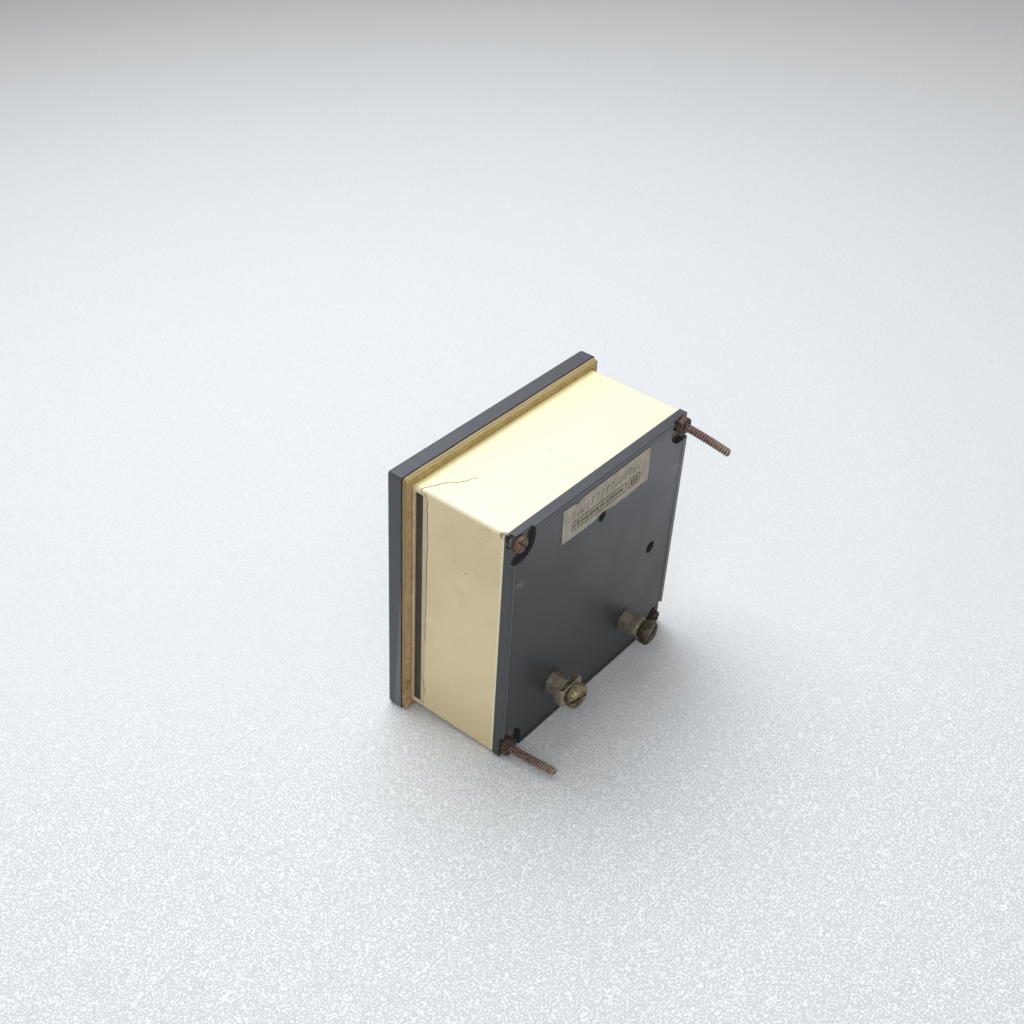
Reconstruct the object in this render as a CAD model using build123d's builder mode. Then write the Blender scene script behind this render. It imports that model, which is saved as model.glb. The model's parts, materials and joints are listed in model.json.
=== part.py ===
from build123d import *
from math import cos, pi, radians, sin
import os

# Square analog panel meter, 96 mm size, with a slide-out scale and two screw terminals.
# X runs to the right and Z up as the dial is read. Y runs from the dial to the terminals.
# The origin is the middle of the overall depth and width, on the surface that the meter stands on.
# Lengths are in millimetres. A depth is counted from the panel's front face, backwards.

# Overall sizes
bezel_width = 96.0
bezel_depth = 5.9
panel_flange = 3.2
case_length = 37.3
cover_lap = 0.3
cover_depth = 4.0
stud_reach = 18.4

# Clearances
overrun = 1.0
seat_gap = 0.1
slide_gap = 0.12
running_gap = 0.05

# Bezel and window
bezel_corner_r = 1.2
bezel_edge_r = 1.3
bezel_lip = 1.6
frame_side = 7.5
opening_corner_r = 2.0
opening_chamfer = 0.7
pane_seat = 0.8
pane_thickness = 2.0
pane_bottom = -14.0
locating_length = 2.2

# Gasket
gasket_inset = 0.8
gasket_thickness = 2.0
gasket_corner_r = 1.5

# Case
case_wall = 2.2
case_corner_r = 1.0
case_inner_r = 0.6
fixing_inset = 3.1
post_front = 12.0
post_hole_depth = 17.0
slot_front = 2.7
slot_width = 3.3
slot_inset = 1.8
rail_height = 2.4
rail_thickness = 0.9

# Rear cover
cover_corner_r = 1.0
cover_edge = 0.35
cover_plate = 2.2
rim_width = 1.2
rim_height = 0.4
recess_r = 6.6
recess_depth = 3.1
parapet_depth = 1.4
parapet_thickness = 1.1
boss_r = 2.9
spigot_length = 1.8
spigot_thickness = 1.2
terminal_boss_r = 4.8
terminal_boss_height = 0.15
small_hole_r = 1.7
small_hole_x = 0.6
small_hole_z = 28.5
large_hole_r = 2.2
large_hole_x = -31.5
large_hole_z = -3.0
chip_inset = 1.9
chip_waist = 1.35
chip_waist_drop = 1.9
chip_shoulder = 1.7
chip_shoulder_drop = 3.75
chip_height = 4.7

# Rear label
label_width = 45.0
label_height = 13.4
label_thickness = 0.2
label_x = -0.5
label_inset = 8.5

# Corner fasteners
stud_r = 1.5
stud_core_r = 1.35
stud_hold = 13.3
stud_tip_chamfer = 0.4
nut_flats = 5.5
nut_height = 2.4
screw_shank_r = 1.25
screw_head_r = 2.65
screw_head_height = 1.8
screw_head_side = 0.7
screw_slot_width = 0.6
screw_slot_depth = 0.7
screw_slot_angle = 50.0
screw_shank_length = 12.0

# Terminals
terminal_x = 20.2
terminal_z = -28.1
pillar_flats = 6.6
pillar_turn = 30.0
pillar_height = 5.95
pillar_chamfer = 0.3
pillar_bore_depth = 5.4
tail_r = 2.5
tail_length = 7.5
terminal_screw_r = 2.0
terminal_shank_length = 7.6
terminal_head_r = 4.0
terminal_head_height = 2.6
terminal_head_edge = 0.9
left_slot_angle = 145.0
right_slot_angle = 8.0
terminal_slot_width = 1.0
terminal_slot_depth = 1.1
lockwasher_thickness = 0.9
lockwasher_r = 3.5
lockwasher_split = 0.8
split_angle = 12.0
clamp_thickness = 0.7
clamp_width = 9.0
clamp_height = 6.7
clamp_lip_depth = 2.9
clamp_bend_r = 0.6
clamp_hole_r = 2.4
wire_gap = 1.4
left_clamp_turn = 56.0
right_clamp_turn = 0.0
clamp_drop = 0.3
terminal_nut_flats = 8.0
terminal_nut_height = 2.4

# Scale plate and its strip
plate_thickness = 0.8
plate_gap_left = 0.8
plate_bottom = -13.0
plate_gap_top = 0.5
strip_thickness = 1.4
strip_recess = 0.5
strip_groove = 0.6

# Dial mask and zero adjuster
mask_skin = 1.5
mask_tongue = 1.0
mask_tongue_top = -12.5
mask_tongue_bottom = -18.0
mask_pillar_r = 2.4
mask_pillar_x = 30.0
mask_pillar_z = -30.0
adjuster_z = -33.5
adjuster_shank_r = 1.65
adjuster_head_r = 2.9
adjuster_head_height = 1.5
adjuster_sink = 0.8
adjuster_slot_width = 0.8
adjuster_slot_depth = 0.7
adjuster_pin_r = 0.45
adjuster_pin_offset = 1.1
adjuster_pin_length = 1.25

# Moving system
pivot_z = -24.0
staff_r = 0.7
staff_front = 0.5
staff_setback = 2.1
pivot_r = 0.35
pivot_length = 1.1
collet_r = 1.0
collet_length = 0.7
pointer_rest_angle = 135.0
pointer_depth = 2.05
pointer_thickness = 0.4
pointer_length = 52.0
pointer_point = 4.0
pointer_root_half = 0.9
pointer_tip_half = 0.3
pointer_tail = 11.2
pointer_tail_half = 0.8
pointer_cross = 6.0
pointer_cross_half = 0.5
hub_r = 1.9
hub_thickness = 1.3
weight_r = 1.3
weight_thickness = 1.1
tail_weight_r = 2.3
tail_weight_place = 8.5
cross_weight_place = 4.6
vane_depth = 8.0
vane_thickness = 0.4
vane_r = 13.0
vane_inner_r = 3.0
vane_half_angle = 55.0

# Zero lever and hairspring
lever_front = -1.5
lever_thickness = 0.4
lever_ring_r = 2.9
lever_arm_width = 2.8
lever_reach = 10.2
fork_gap = 0.1
fork_length = 3.1
spring_post_x = 5.0
spring_post_r = 0.4
spring_depth = 0.6
spring_width = 0.5
spring_strip = 0.12
spring_half_turns = 7
spring_start_angle = 180.0
spring_inner_r = 1.45

# Movement
base_front = 10.0
base_top = -10.0
base_side_gap = 0.2
base_hole_r = 7.6
bracket_x = 30.0
bracket_width = 8.0
bracket_bottom = -17.0
bracket_top = -11.5
sheet_thickness = 0.8
front_arm_depth = -0.9
front_arm_width = 6.0
front_arm_end_r = 3.2
front_spine_z = -40.7
front_foot_width = 19.0
front_foot_top = -39.4
front_foot_bottom = -42.3
front_screw_x = 7.0
bearing_r = 1.4
bearing_length = 2.6
bearing_head_r = 2.2
bearing_head_height = 0.6
bearing_bore_depth = 1.2
rear_leg_gap = 1.4
rear_bridge_width = 8.0
rear_bridge_room = 3.3
rear_foot_length = 7.0
rear_screw_inset = 4.4
bend_r = 0.9
bridge_screw_r = 1.0
bridge_screw_length = 2.6
bridge_screw_head_r = 1.4
bridge_screw_head_height = 0.9
magnet_half_width = 3.0
magnet_front = 6.2
magnet_top = -31.0
magnet_bottom = -39.2
magnet_gap_front = 7.5
magnet_gap_rear = 8.9
magnet_gap_bottom = -37.6

# Coil
coil_room = 21.3
coil_bore_r = 9.0
bobbin_tube = 1.4
bobbin_flange_r = 15.0
bobbin_flange = 1.4
winding_r = 14.0
fixed_iron_r = 8.9
fixed_iron_thickness = 0.7
fixed_iron_half_angle = 50.0
fixed_iron_angle = 160.0
iron_end_gap = 1.0
moving_iron_r = 6.4
moving_iron_thickness = 0.5
moving_iron_half_angle = 20.0
moving_iron_angle = 135.0
moving_iron_setback = 3.0
moving_iron_web = 1.0
moving_iron_web_length = 3.0
strap_width = 3.0
strap_z = -30.0
strap_x = 13.0
strap_end_x = 9.4
strap_eye_r = 4.4
strap_bend_r = 1.0

# Sizes and places that follow from the sizes above
case_width = bezel_width - 2 * panel_flange
cover_width = case_width + 2 * cover_lap
opening_width = bezel_width - 2 * frame_side
pane_width = opening_width + 2 * pane_seat
gasket_width = bezel_width - 2 * gasket_inset
stud_start = case_length - stud_hold
coil_length = case_length - coil_room
coil_rear = post_front + coil_length
rear_bridge_reach = coil_rear + rear_bridge_room + sheet_thickness
staff_rear = rear_bridge_reach - staff_setback
rear_leg_x = bobbin_flange_r + rear_leg_gap
rear_screw_x = rear_leg_x + rear_screw_inset
moving_iron_length = coil_length - 2 * moving_iron_setback
overall_depth = bezel_depth + case_length + cover_depth + stud_reach
panel_y = bezel_depth - overall_depth / 2
centre_z = bezel_width / 2
rear_depth = case_length + cover_depth
face_depth = rear_depth - rim_height
cover_inside = face_depth - cover_plate
parapet_top = rear_depth - parapet_depth
case_half = case_width / 2
case_inner = case_half - case_wall
cover_half = cover_width / 2
fixing_offset = case_half - fixing_inset
slot_height = case_width - 2 * slot_inset
plate_left = plate_gap_left - case_inner
plate_top = case_inner - plate_gap_top
label_z = cover_half - label_inset
pane_front = bezel_lip - bezel_depth
pane_rear = pane_front + pane_thickness
rebate_width = pane_width + 2 * seat_gap
mask_rear = pane_front + mask_skin
slot_middle = slot_front + slot_width / 2
plate_front = slot_middle - plate_thickness / 2
plate_rear = slot_middle + plate_thickness / 2
strip_outside = case_half - strip_recess
strip_inside = strip_outside - strip_thickness
boss_top = face_depth + terminal_boss_height
pillar_end = boss_top + pillar_height
clamp_front = pillar_end + wire_gap
clamp_rear = clamp_front + clamp_thickness
head_seat = clamp_rear + lockwasher_thickness
stud_shoulder = parapet_top + nut_height
stud_tip = rear_depth + stud_reach
strap_front = cover_inside - sheet_thickness
stud_places = [(-fixing_offset, fixing_offset), (fixing_offset, -fixing_offset)]
screw_places = [(fixing_offset, fixing_offset), (-fixing_offset, -fixing_offset)]
fixing_places = stud_places + screw_places


def across(depth, x=0, z=0):
    """Plane across the meter at a depth, seen from the front: x to the right, y up, forwards out."""
    return Plane(origin=(x, panel_y + depth, centre_z + z), x_dir=(1, 0, 0), z_dir=(0, -1, 0))


def along(x=0, z=0):
    """Plane along the depth for a turned profile: x is the depth, y the distance from the axis."""
    return Plane(origin=(x, panel_y, centre_z + z), x_dir=(0, 1, 0), z_dir=(0, 0, 1))


def upright(x):
    """Plane across the width, seen from the right: x is the depth, y is up, to the right out."""
    return Plane(origin=(x, panel_y, centre_z), x_dir=(0, 1, 0), z_dir=(1, 0, 0))


def depth_axis(x=0, z=0):
    """Axis along the depth through a place on the face."""
    return Axis((x, panel_y, centre_z + z), (0, 1, 0))


def turned(depth, angle):
    """Plane across the meter at the pivot whose x direction points at an angle on the dial."""
    direction = (cos(radians(angle)), 0, sin(radians(angle)))
    return Plane(origin=(0, panel_y + depth, centre_z + pivot_z), x_dir=direction, z_dir=(0, -1, 0))


def finish(part, name):
    """Label a finished piece and write it under its own name."""
    part.label = name
    export_step(part, "parts/" + name + ".step")


os.makedirs("parts", exist_ok=True)

# Bezel: a moulded frame with a rounded front edge, a rebate for the pane and a locating rim
with BuildPart() as bezel:
    with BuildSketch(across(0)):
        RectangleRounded(bezel_width, bezel_width, bezel_corner_r)
    extrude(amount=bezel_depth)
    front_face = bezel.faces().sort_by(Axis.Y)[0]
    fillet(front_face.edges(), radius=bezel_edge_r)
    with BuildSketch(across(-bezel_depth)):
        RectangleRounded(opening_width, opening_width, opening_corner_r)
    extrude(amount=-bezel_depth, mode=Mode.SUBTRACT)
    inner_front = bezel.faces().filter_by(Axis.Y).sort_by(Axis.Y)[0].inner_wires()[0]
    chamfer(inner_front.edges(), length=opening_chamfer)
    with BuildSketch(across(overrun)):
        RectangleRounded(rebate_width, rebate_width, opening_corner_r)
    extrude(amount=overrun - pane_front, mode=Mode.SUBTRACT)
    with BuildSketch(across(locating_length)):
        RectangleRounded(2 * (case_inner - seat_gap), 2 * (case_inner - seat_gap), case_inner_r)
        RectangleRounded(rebate_width, rebate_width, opening_corner_r, mode=Mode.SUBTRACT)
    extrude(amount=locating_length)
finish(bezel.part, "bezel")

# Window: a flat clear pane over the dial, down to the mask
pane_half = pane_width / 2
pane_height = pane_half - pane_bottom
with BuildPart() as window:
    with BuildSketch(across(pane_rear, z=pane_half - pane_height / 2)) as pane:
        Rectangle(pane_width, pane_height)
        fillet(pane.vertices().group_by(Axis.Y)[-1], radius=opening_corner_r)
    extrude(amount=pane_thickness)
finish(window.part, "window")

# Gasket: a flat sealing frame between the bezel and the panel, round the case
with BuildPart() as panel_gasket:
    with BuildSketch(across(gasket_thickness)):
        RectangleRounded(gasket_width, gasket_width, gasket_corner_r)
        gasket_hole = case_width + 2 * seat_gap
        RectangleRounded(gasket_hole, gasket_hole, case_corner_r, mode=Mode.SUBTRACT)
    extrude(amount=gasket_thickness)
finish(panel_gasket.part, "panel_gasket")

# Case: a square moulded tube with four corner posts, two scale rails and a slot in its right wall
with BuildPart() as case:
    with BuildSketch(across(case_length)):
        RectangleRounded(case_width, case_width, case_corner_r)
        RectangleRounded(2 * case_inner, 2 * case_inner, case_inner_r, mode=Mode.SUBTRACT)
    extrude(amount=case_length)
    with BuildSketch(across(case_length)):
        with Locations(*fixing_places):
            Circle(case_half - fixing_offset)
    extrude(amount=case_length - post_front)
    with BuildSketch(across(case_length + overrun)):
        with Locations(*stud_places):
            Circle(stud_core_r + seat_gap)
        with Locations(*screw_places):
            Circle(screw_shank_r + seat_gap)
    extrude(amount=post_hole_depth + overrun, mode=Mode.SUBTRACT)
    for rail_rear in (plate_front - slide_gap, plate_rear + slide_gap + rail_thickness):
        with BuildSketch(across(rail_rear, z=case_inner - rail_height / 2)):
            Rectangle(2 * case_inner, rail_height)
        extrude(amount=rail_thickness)
    with BuildSketch(upright(case_inner - overrun)):
        with Locations((slot_middle, 0)):
            Rectangle(slot_width, slot_height)
    extrude(amount=case_wall + 2 * overrun, mode=Mode.SUBTRACT)
finish(case.part, "case")

# Rear cover: a shallow moulded tray with a low rim, deep corner recesses and two terminal seats
with BuildPart() as rear_cover:
    with BuildSketch(across(rear_depth)):
        RectangleRounded(cover_width, cover_width, cover_corner_r)
    extrude(amount=cover_depth)
    chamfer(rear_cover.faces().sort_by(Axis.Y)[-1].edges(), length=cover_edge)
    with BuildSketch(across(cover_inside)):
        RectangleRounded(2 * case_inner, 2 * case_inner, case_inner_r)
        with Locations(*fixing_places):
            Circle(recess_r + rim_width, mode=Mode.SUBTRACT)
    extrude(amount=cover_inside - case_length, mode=Mode.SUBTRACT)
    with BuildSketch(across(rear_depth)):
        Rectangle(cover_width - 2 * rim_width, cover_width - 2 * rim_width)
    extrude(amount=rim_height, mode=Mode.SUBTRACT)
    with BuildSketch(across(boss_top)):
        with Locations((terminal_x, terminal_z), (-terminal_x, terminal_z)):
            Circle(terminal_boss_r)
    extrude(amount=terminal_boss_height)
    with BuildSketch(across(rear_depth + overrun)):
        with Locations(*fixing_places):
            Circle(recess_r)
    extrude(amount=parapet_depth + overrun, mode=Mode.SUBTRACT)
    with BuildSketch(across(parapet_top)):
        with Locations(*fixing_places):
            Circle(recess_r)
        inside_parapet = cover_width - 2 * parapet_thickness
        Rectangle(inside_parapet, inside_parapet, mode=Mode.INTERSECT)
        with Locations(*fixing_places):
            Circle(boss_r, mode=Mode.SUBTRACT)
    extrude(amount=recess_depth - parapet_depth, mode=Mode.SUBTRACT)
    with BuildSketch(across(case_length)):
        spigot_width = 2 * (case_inner - seat_gap)
        RectangleRounded(spigot_width, spigot_width, case_inner_r)
        spigot_inside = spigot_width - 2 * spigot_thickness
        Rectangle(spigot_inside, spigot_inside, mode=Mode.SUBTRACT)
        with Locations(*fixing_places):
            Circle(case_half - fixing_offset + 2 * seat_gap, mode=Mode.SUBTRACT)
    extrude(amount=spigot_length)
    with BuildSketch(across(rear_depth + overrun)):
        with Locations(*stud_places):
            Circle(stud_core_r + seat_gap)
        with Locations(*screw_places):
            Circle(screw_shank_r + seat_gap)
        with Locations((terminal_x, terminal_z), (-terminal_x, terminal_z)):
            Circle(tail_r + seat_gap)
        with Locations((small_hole_x, small_hole_z)):
            Circle(small_hole_r)
        with Locations((large_hole_x, large_hole_z)):
            Circle(large_hole_r)
    extrude(amount=cover_depth + spigot_length + 2 * overrun, mode=Mode.SUBTRACT)
    with BuildSketch(across(parapet_top + overrun)):
        with BuildLine():
            Polyline(
                (cover_half - chip_inset, cover_half + overrun),
                (cover_half - chip_waist, cover_half - chip_waist_drop),
                (cover_half - chip_shoulder, cover_half - chip_shoulder_drop),
                (cover_half + overrun, cover_half - chip_height),
                (cover_half + overrun, cover_half + overrun),
                close=True,
            )
        make_face()
    extrude(amount=overrun + recess_depth - parapet_depth, mode=Mode.SUBTRACT)
finish(rear_cover.part, "rear_cover")

# Label: a thin sticker on the cover's face
with BuildPart() as rear_label:
    with BuildSketch(across(face_depth + label_thickness, label_x, label_z)):
        Rectangle(label_width, label_height)
    extrude(amount=label_thickness)
finish(rear_label.part, "rear_label")

# Mounting studs: rods whose thread is too fine to model, with a thinner end through nut, cover and post
with BuildPart() as mounting_studs:
    with BuildSketch(across(stud_tip)):
        with Locations(*stud_places):
            Circle(stud_r)
    extrude(amount=stud_tip - stud_shoulder)
    chamfer(mounting_studs.faces().group_by(Axis.Y)[-1].edges(), length=stud_tip_chamfer)
    with BuildSketch(across(stud_shoulder)):
        with Locations(*stud_places):
            Circle(stud_core_r)
    extrude(amount=stud_shoulder - stud_start)
finish(mounting_studs.part, "mounting_studs")

# Stud nuts: hexagon nuts, seated on the bosses of the recesses
with BuildPart() as stud_nuts:
    with BuildSketch(across(stud_shoulder)):
        with Locations(*stud_places):
            RegularPolygon(nut_flats / 2, 6, major_radius=False)
            Circle(stud_core_r + running_gap, mode=Mode.SUBTRACT)
    extrude(amount=nut_height)
finish(stud_nuts.part, "stud_nuts")

# Cover screws: domed heads with a slot, screwed into the other two posts
with BuildPart() as cover_screws:
    for place_x, place_z in screw_places:
        with BuildSketch(along(place_x, place_z)):
            with BuildLine():
                dome_rise = screw_head_height - screw_head_side
                dome_r = (screw_head_r**2 + dome_rise**2) / (2 * dome_rise)
                crown_point = (parapet_top + screw_head_height, 0)
                side_point = (parapet_top + screw_head_side, screw_head_r)
                RadiusArc(crown_point, side_point, dome_r)
                Polyline(
                    side_point,
                    (parapet_top, screw_head_r),
                    (parapet_top, screw_shank_r),
                    (parapet_top - screw_shank_length, screw_shank_r),
                    (parapet_top - screw_shank_length, 0),
                    crown_point,
                )
            make_face()
        revolve(axis=depth_axis(place_x, place_z))
    with BuildSketch(across(parapet_top + screw_head_height + overrun)):
        with Locations(*screw_places):
            Rectangle(2 * screw_head_r + overrun, screw_slot_width, rotation=screw_slot_angle)
    extrude(amount=screw_slot_depth + overrun, mode=Mode.SUBTRACT)
finish(cover_screws.part, "cover_screws")


def terminal_set(side, x, clamp_turn):
    """One screw terminal: hexagon pillar, clamp plate, split washer and cheese-head screw."""
    with BuildPart() as pillar:
        with BuildSketch(across(pillar_end, x, terminal_z)):
            RegularPolygon(pillar_flats / 2, 6, major_radius=False, rotation=pillar_turn)
        extrude(amount=pillar_height)
        chamfer(pillar.faces().sort_by(Axis.Y)[-1].edges(), length=pillar_chamfer)
        with BuildSketch(across(rear_depth, x, terminal_z)):
            Circle(tail_r)
        extrude(amount=tail_length)
        with BuildSketch(across(pillar_end, x, terminal_z)):
            Circle(terminal_screw_r + running_gap)
        extrude(amount=pillar_bore_depth, mode=Mode.SUBTRACT)
    finish(pillar.part, "terminal_pillar_" + side)

    clamp_middle = terminal_z - clamp_drop
    turn = radians(clamp_turn)
    clamp_plane = Plane(
        origin=(x, panel_y + clamp_rear, centre_z + clamp_middle),
        x_dir=(cos(turn), 0, sin(turn)),
        z_dir=(0, -1, 0),
    )
    with BuildPart() as clamp:
        with BuildSketch(clamp_plane):
            Rectangle(clamp_width, clamp_height)
        extrude(amount=clamp_thickness)
        with BuildSketch(clamp_plane):
            lip_x = (clamp_width - clamp_thickness) / 2
            with Locations((lip_x, 0), (-lip_x, 0)):
                Rectangle(clamp_thickness, clamp_height)
        extrude(amount=clamp_thickness + clamp_lip_depth)
        upright_edges = clamp.edges().filter_by(clamp_plane.location.y_axis)
        fillet(upright_edges.sort_by(Axis.Y)[-2:], radius=clamp_bend_r)
        with BuildSketch(across(clamp_rear, x, terminal_z)):
            Circle(clamp_hole_r)
        extrude(amount=clamp_thickness, mode=Mode.SUBTRACT)
    finish(clamp.part, "terminal_clamp_" + side)

    with BuildPart() as lockwasher:
        with BuildSketch(across(head_seat, x, terminal_z)):
            Circle(lockwasher_r)
            Circle(terminal_screw_r + seat_gap, mode=Mode.SUBTRACT)
            with Locations((0, -lockwasher_r)):
                split_height = 2 * lockwasher_r
                Rectangle(lockwasher_split, split_height, rotation=split_angle, mode=Mode.SUBTRACT)
        extrude(amount=lockwasher_thickness)
    finish(lockwasher.part, "terminal_lockwasher_" + side)

    with BuildPart() as screw:
        with BuildSketch(across(head_seat + terminal_head_height, x, terminal_z)):
            Circle(terminal_head_r)
        extrude(amount=terminal_head_height)
        fillet(screw.faces().sort_by(Axis.Y)[-1].edges(), radius=terminal_head_edge)
        with BuildSketch(across(head_seat, x, terminal_z)):
            Circle(terminal_screw_r)
        extrude(amount=terminal_shank_length)
        with BuildSketch(across(head_seat + terminal_head_height + overrun, x, terminal_z)):
            Rectangle(2 * terminal_head_r + overrun, terminal_slot_width, rotation=terminal_slot_angle[side])
        extrude(amount=terminal_slot_depth + overrun, mode=Mode.SUBTRACT)
    finish(screw.part, "terminal_screw_" + side)

    with BuildPart() as strap:
        with BuildSketch(Plane.XY.offset(centre_z + strap_z)):
            with BuildLine():
                middle = panel_y + strap_front + sheet_thickness / 2
                foot = panel_y + coil_rear + sheet_thickness / 2
                hand = 1 if x > 0 else -1
                FilletPolyline(
                    (x, middle),
                    (hand * strap_x, middle),
                    (hand * strap_x, foot),
                    (hand * strap_end_x, foot),
                    radius=strap_bend_r,
                )
            trace(line_width=sheet_thickness)
        extrude(amount=strap_width / 2, both=True)
        with BuildSketch(across(cover_inside, x, terminal_z)):
            Circle(strap_eye_r)
        extrude(amount=sheet_thickness)
        with BuildSketch(across(cover_inside + overrun, x, terminal_z)):
            Circle(tail_r + seat_gap)
        extrude(amount=sheet_thickness + 2 * overrun, mode=Mode.SUBTRACT)
    finish(strap.part, "coil_strap_" + side)


terminal_slot_angle = {"left": left_slot_angle, "right": right_slot_angle}
terminal_set("left", -terminal_x, left_clamp_turn)
terminal_set("right", terminal_x, right_clamp_turn)

# Terminal nuts: two hexagon nuts that hold the pillars and straps from inside
with BuildPart() as terminal_nuts:
    with BuildSketch(across(strap_front)):
        with Locations((terminal_x, terminal_z), (-terminal_x, terminal_z)):
            RegularPolygon(terminal_nut_flats / 2, 6, major_radius=False)
            Circle(tail_r + running_gap, mode=Mode.SUBTRACT)
    extrude(amount=terminal_nut_height)
finish(terminal_nuts.part, "terminal_nuts")

# Scale plate: a thin sheet behind the pointer, held at its right edge by the strip
plate_height = plate_top - plate_bottom
plate_right = strip_inside + strip_groove
plate_middle = ((plate_left + plate_right) / 2, (plate_top + plate_bottom) / 2)
with BuildPart() as scale_plate:
    with BuildSketch(across(plate_rear)):
        with Locations(plate_middle):
            Rectangle(plate_right - plate_left, plate_height)
    extrude(amount=plate_thickness)
finish(scale_plate.part, "scale_plate")

# Slot strip: closes the slot in the case and grips the scale plate
with BuildPart() as slot_strip:
    with BuildSketch(upright(strip_inside)):
        with Locations((slot_middle, 0)):
            Rectangle(slot_width - 2 * slide_gap, slot_height - 2 * slide_gap)
    extrude(amount=strip_thickness)
    with BuildSketch(upright(strip_inside)):
        with Locations((slot_middle, (plate_top + plate_bottom) / 2)):
            Rectangle(plate_thickness, plate_height)
    extrude(amount=strip_groove, mode=Mode.SUBTRACT)
finish(slot_strip.part, "slot_strip")

# Dial mask: a moulded cover over the movement, with two pillars that press its base into the case
mask_top = pane_bottom - seat_gap
mask_bottom = -pane_half
with BuildPart() as dial_mask:
    with BuildSketch(across(mask_rear, z=(mask_top + mask_bottom) / 2)) as mask_face:
        Rectangle(pane_width, mask_top - mask_bottom)
        fillet(mask_face.vertices().group_by(Axis.Y)[0], radius=opening_corner_r)
    extrude(amount=mask_skin)
    tongue_height = mask_tongue_top - mask_tongue_bottom
    with BuildSketch(across(pane_rear + mask_tongue, z=(mask_tongue_top + mask_tongue_bottom) / 2)):
        Rectangle(pane_width, tongue_height)
    extrude(amount=mask_tongue)
    root_height = mask_top - mask_tongue_bottom
    with BuildSketch(across(pane_rear, z=(mask_top + mask_tongue_bottom) / 2)):
        Rectangle(pane_width, root_height)
    extrude(amount=pane_rear - mask_rear)
    with BuildSketch(across(base_front)):
        with Locations((mask_pillar_x, mask_pillar_z), (-mask_pillar_x, mask_pillar_z)):
            Circle(mask_pillar_r)
    extrude(amount=base_front - mask_rear)
    with BuildSketch(across(mask_rear + overrun, z=adjuster_z)):
        Circle(adjuster_shank_r + running_gap)
    extrude(amount=mask_skin + 2 * overrun, mode=Mode.SUBTRACT)
    with BuildSketch(across(pane_front + adjuster_sink, z=adjuster_z)):
        Circle(adjuster_head_r + seat_gap)
    extrude(amount=adjuster_sink + overrun, mode=Mode.SUBTRACT)
finish(dial_mask.part, "dial_mask")

# Zero adjuster: a slotted screw in the mask with an eccentric pin
adjuster_seat = pane_front + adjuster_sink
with BuildPart() as zero_adjuster:
    with BuildSketch(across(adjuster_seat, z=adjuster_z)):
        Circle(adjuster_head_r)
    extrude(amount=adjuster_head_height)
    with BuildSketch(across(mask_rear + seat_gap, z=adjuster_z)):
        Circle(adjuster_shank_r)
    extrude(amount=mask_rear + seat_gap - adjuster_seat)
    with BuildSketch(across(mask_rear + seat_gap + adjuster_pin_length, z=adjuster_z)):
        with Locations((0, adjuster_pin_offset)):
            Circle(adjuster_pin_r)
    extrude(amount=adjuster_pin_length)
    with BuildSketch(across(adjuster_seat - adjuster_head_height + adjuster_slot_depth, z=adjuster_z)):
        Rectangle(2 * adjuster_head_r + overrun, adjuster_slot_width)
    extrude(amount=adjuster_slot_depth + overrun, mode=Mode.SUBTRACT)
finish(zero_adjuster.part, "zero_adjuster")

# Zero lever: a flat lever on the front bearing, forked over the pin, with a post for the hairspring
lever_rear = lever_front + lever_thickness
with BuildPart() as zero_lever:
    with BuildSketch(across(lever_rear, z=pivot_z)):
        Circle(lever_ring_r)
        with Locations((0, -lever_reach / 2)):
            Rectangle(lever_arm_width, lever_reach)
        with Locations((spring_post_x / 2, 0)):
            Rectangle(spring_post_x, 4 * spring_post_r)
        with Locations((spring_post_x, 0)):
            Circle(2 * spring_post_r)
        Circle(bearing_r + running_gap, mode=Mode.SUBTRACT)
        with Locations((0, fork_length / 2 - lever_reach)):
            Rectangle(2 * (adjuster_pin_r + fork_gap), fork_length, mode=Mode.SUBTRACT)
    extrude(amount=lever_thickness)
    with BuildSketch(across(spring_depth + spring_width, z=pivot_z)):
        with Locations((spring_post_x, 0)):
            Circle(spring_post_r)
    extrude(amount=spring_depth + spring_width - lever_rear)
finish(zero_lever.part, "zero_lever")


def spiral_side(first_r):
    """One side of the hairspring: half turns whose centres alternate, from a first radius outwards."""
    for half_turn in range(spring_half_turns):
        hand = -1 if half_turn % 2 else 1
        radius = first_r + half_turn * spring_rise
        CenterArc((hand * spring_rise / 2, 0), radius, 180 * half_turn + spring_start_angle, 180)


# Hairspring: a flat spiral round the staff, its outer end on the lever's post
spring_space = spring_post_x - spring_post_r - spring_strip - spring_inner_r
spring_rise = spring_space / (spring_half_turns - 1 / 2)
with BuildPart() as hairspring:
    with BuildSketch(across(spring_depth + spring_width, z=pivot_z)):
        with BuildLine() as spiral:
            spiral_side(spring_inner_r)
            spiral_side(spring_inner_r + spring_strip)
            inner_points = spiral.vertices().sort_by_distance((0, 0))[:2]
            outer_points = spiral.vertices().sort_by_distance((0, 0))[-2:]
            Line(*inner_points)
            Line(*outer_points)
        make_face()
    extrude(amount=spring_width)
finish(hairspring.part, "hairspring")

# Pointer staff: a turned shaft with a fine pivot at each end and a collet inside the hairspring
with BuildPart() as pointer_staff:
    with BuildSketch(along(0, pivot_z)):
        with BuildLine():
            Polyline(
                (staff_front - pivot_length, 0),
                (staff_front - pivot_length, pivot_r),
                (staff_front, pivot_r),
                (staff_front, collet_r),
                (staff_front + collet_length, collet_r),
                (staff_front + collet_length, staff_r),
                (staff_rear, staff_r),
                (staff_rear, pivot_r),
                (staff_rear + pivot_length, pivot_r),
                (staff_rear + pivot_length, 0),
                close=True,
            )
        make_face()
    revolve(axis=depth_axis(0, pivot_z))
finish(pointer_staff.part, "pointer_staff")

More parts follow.
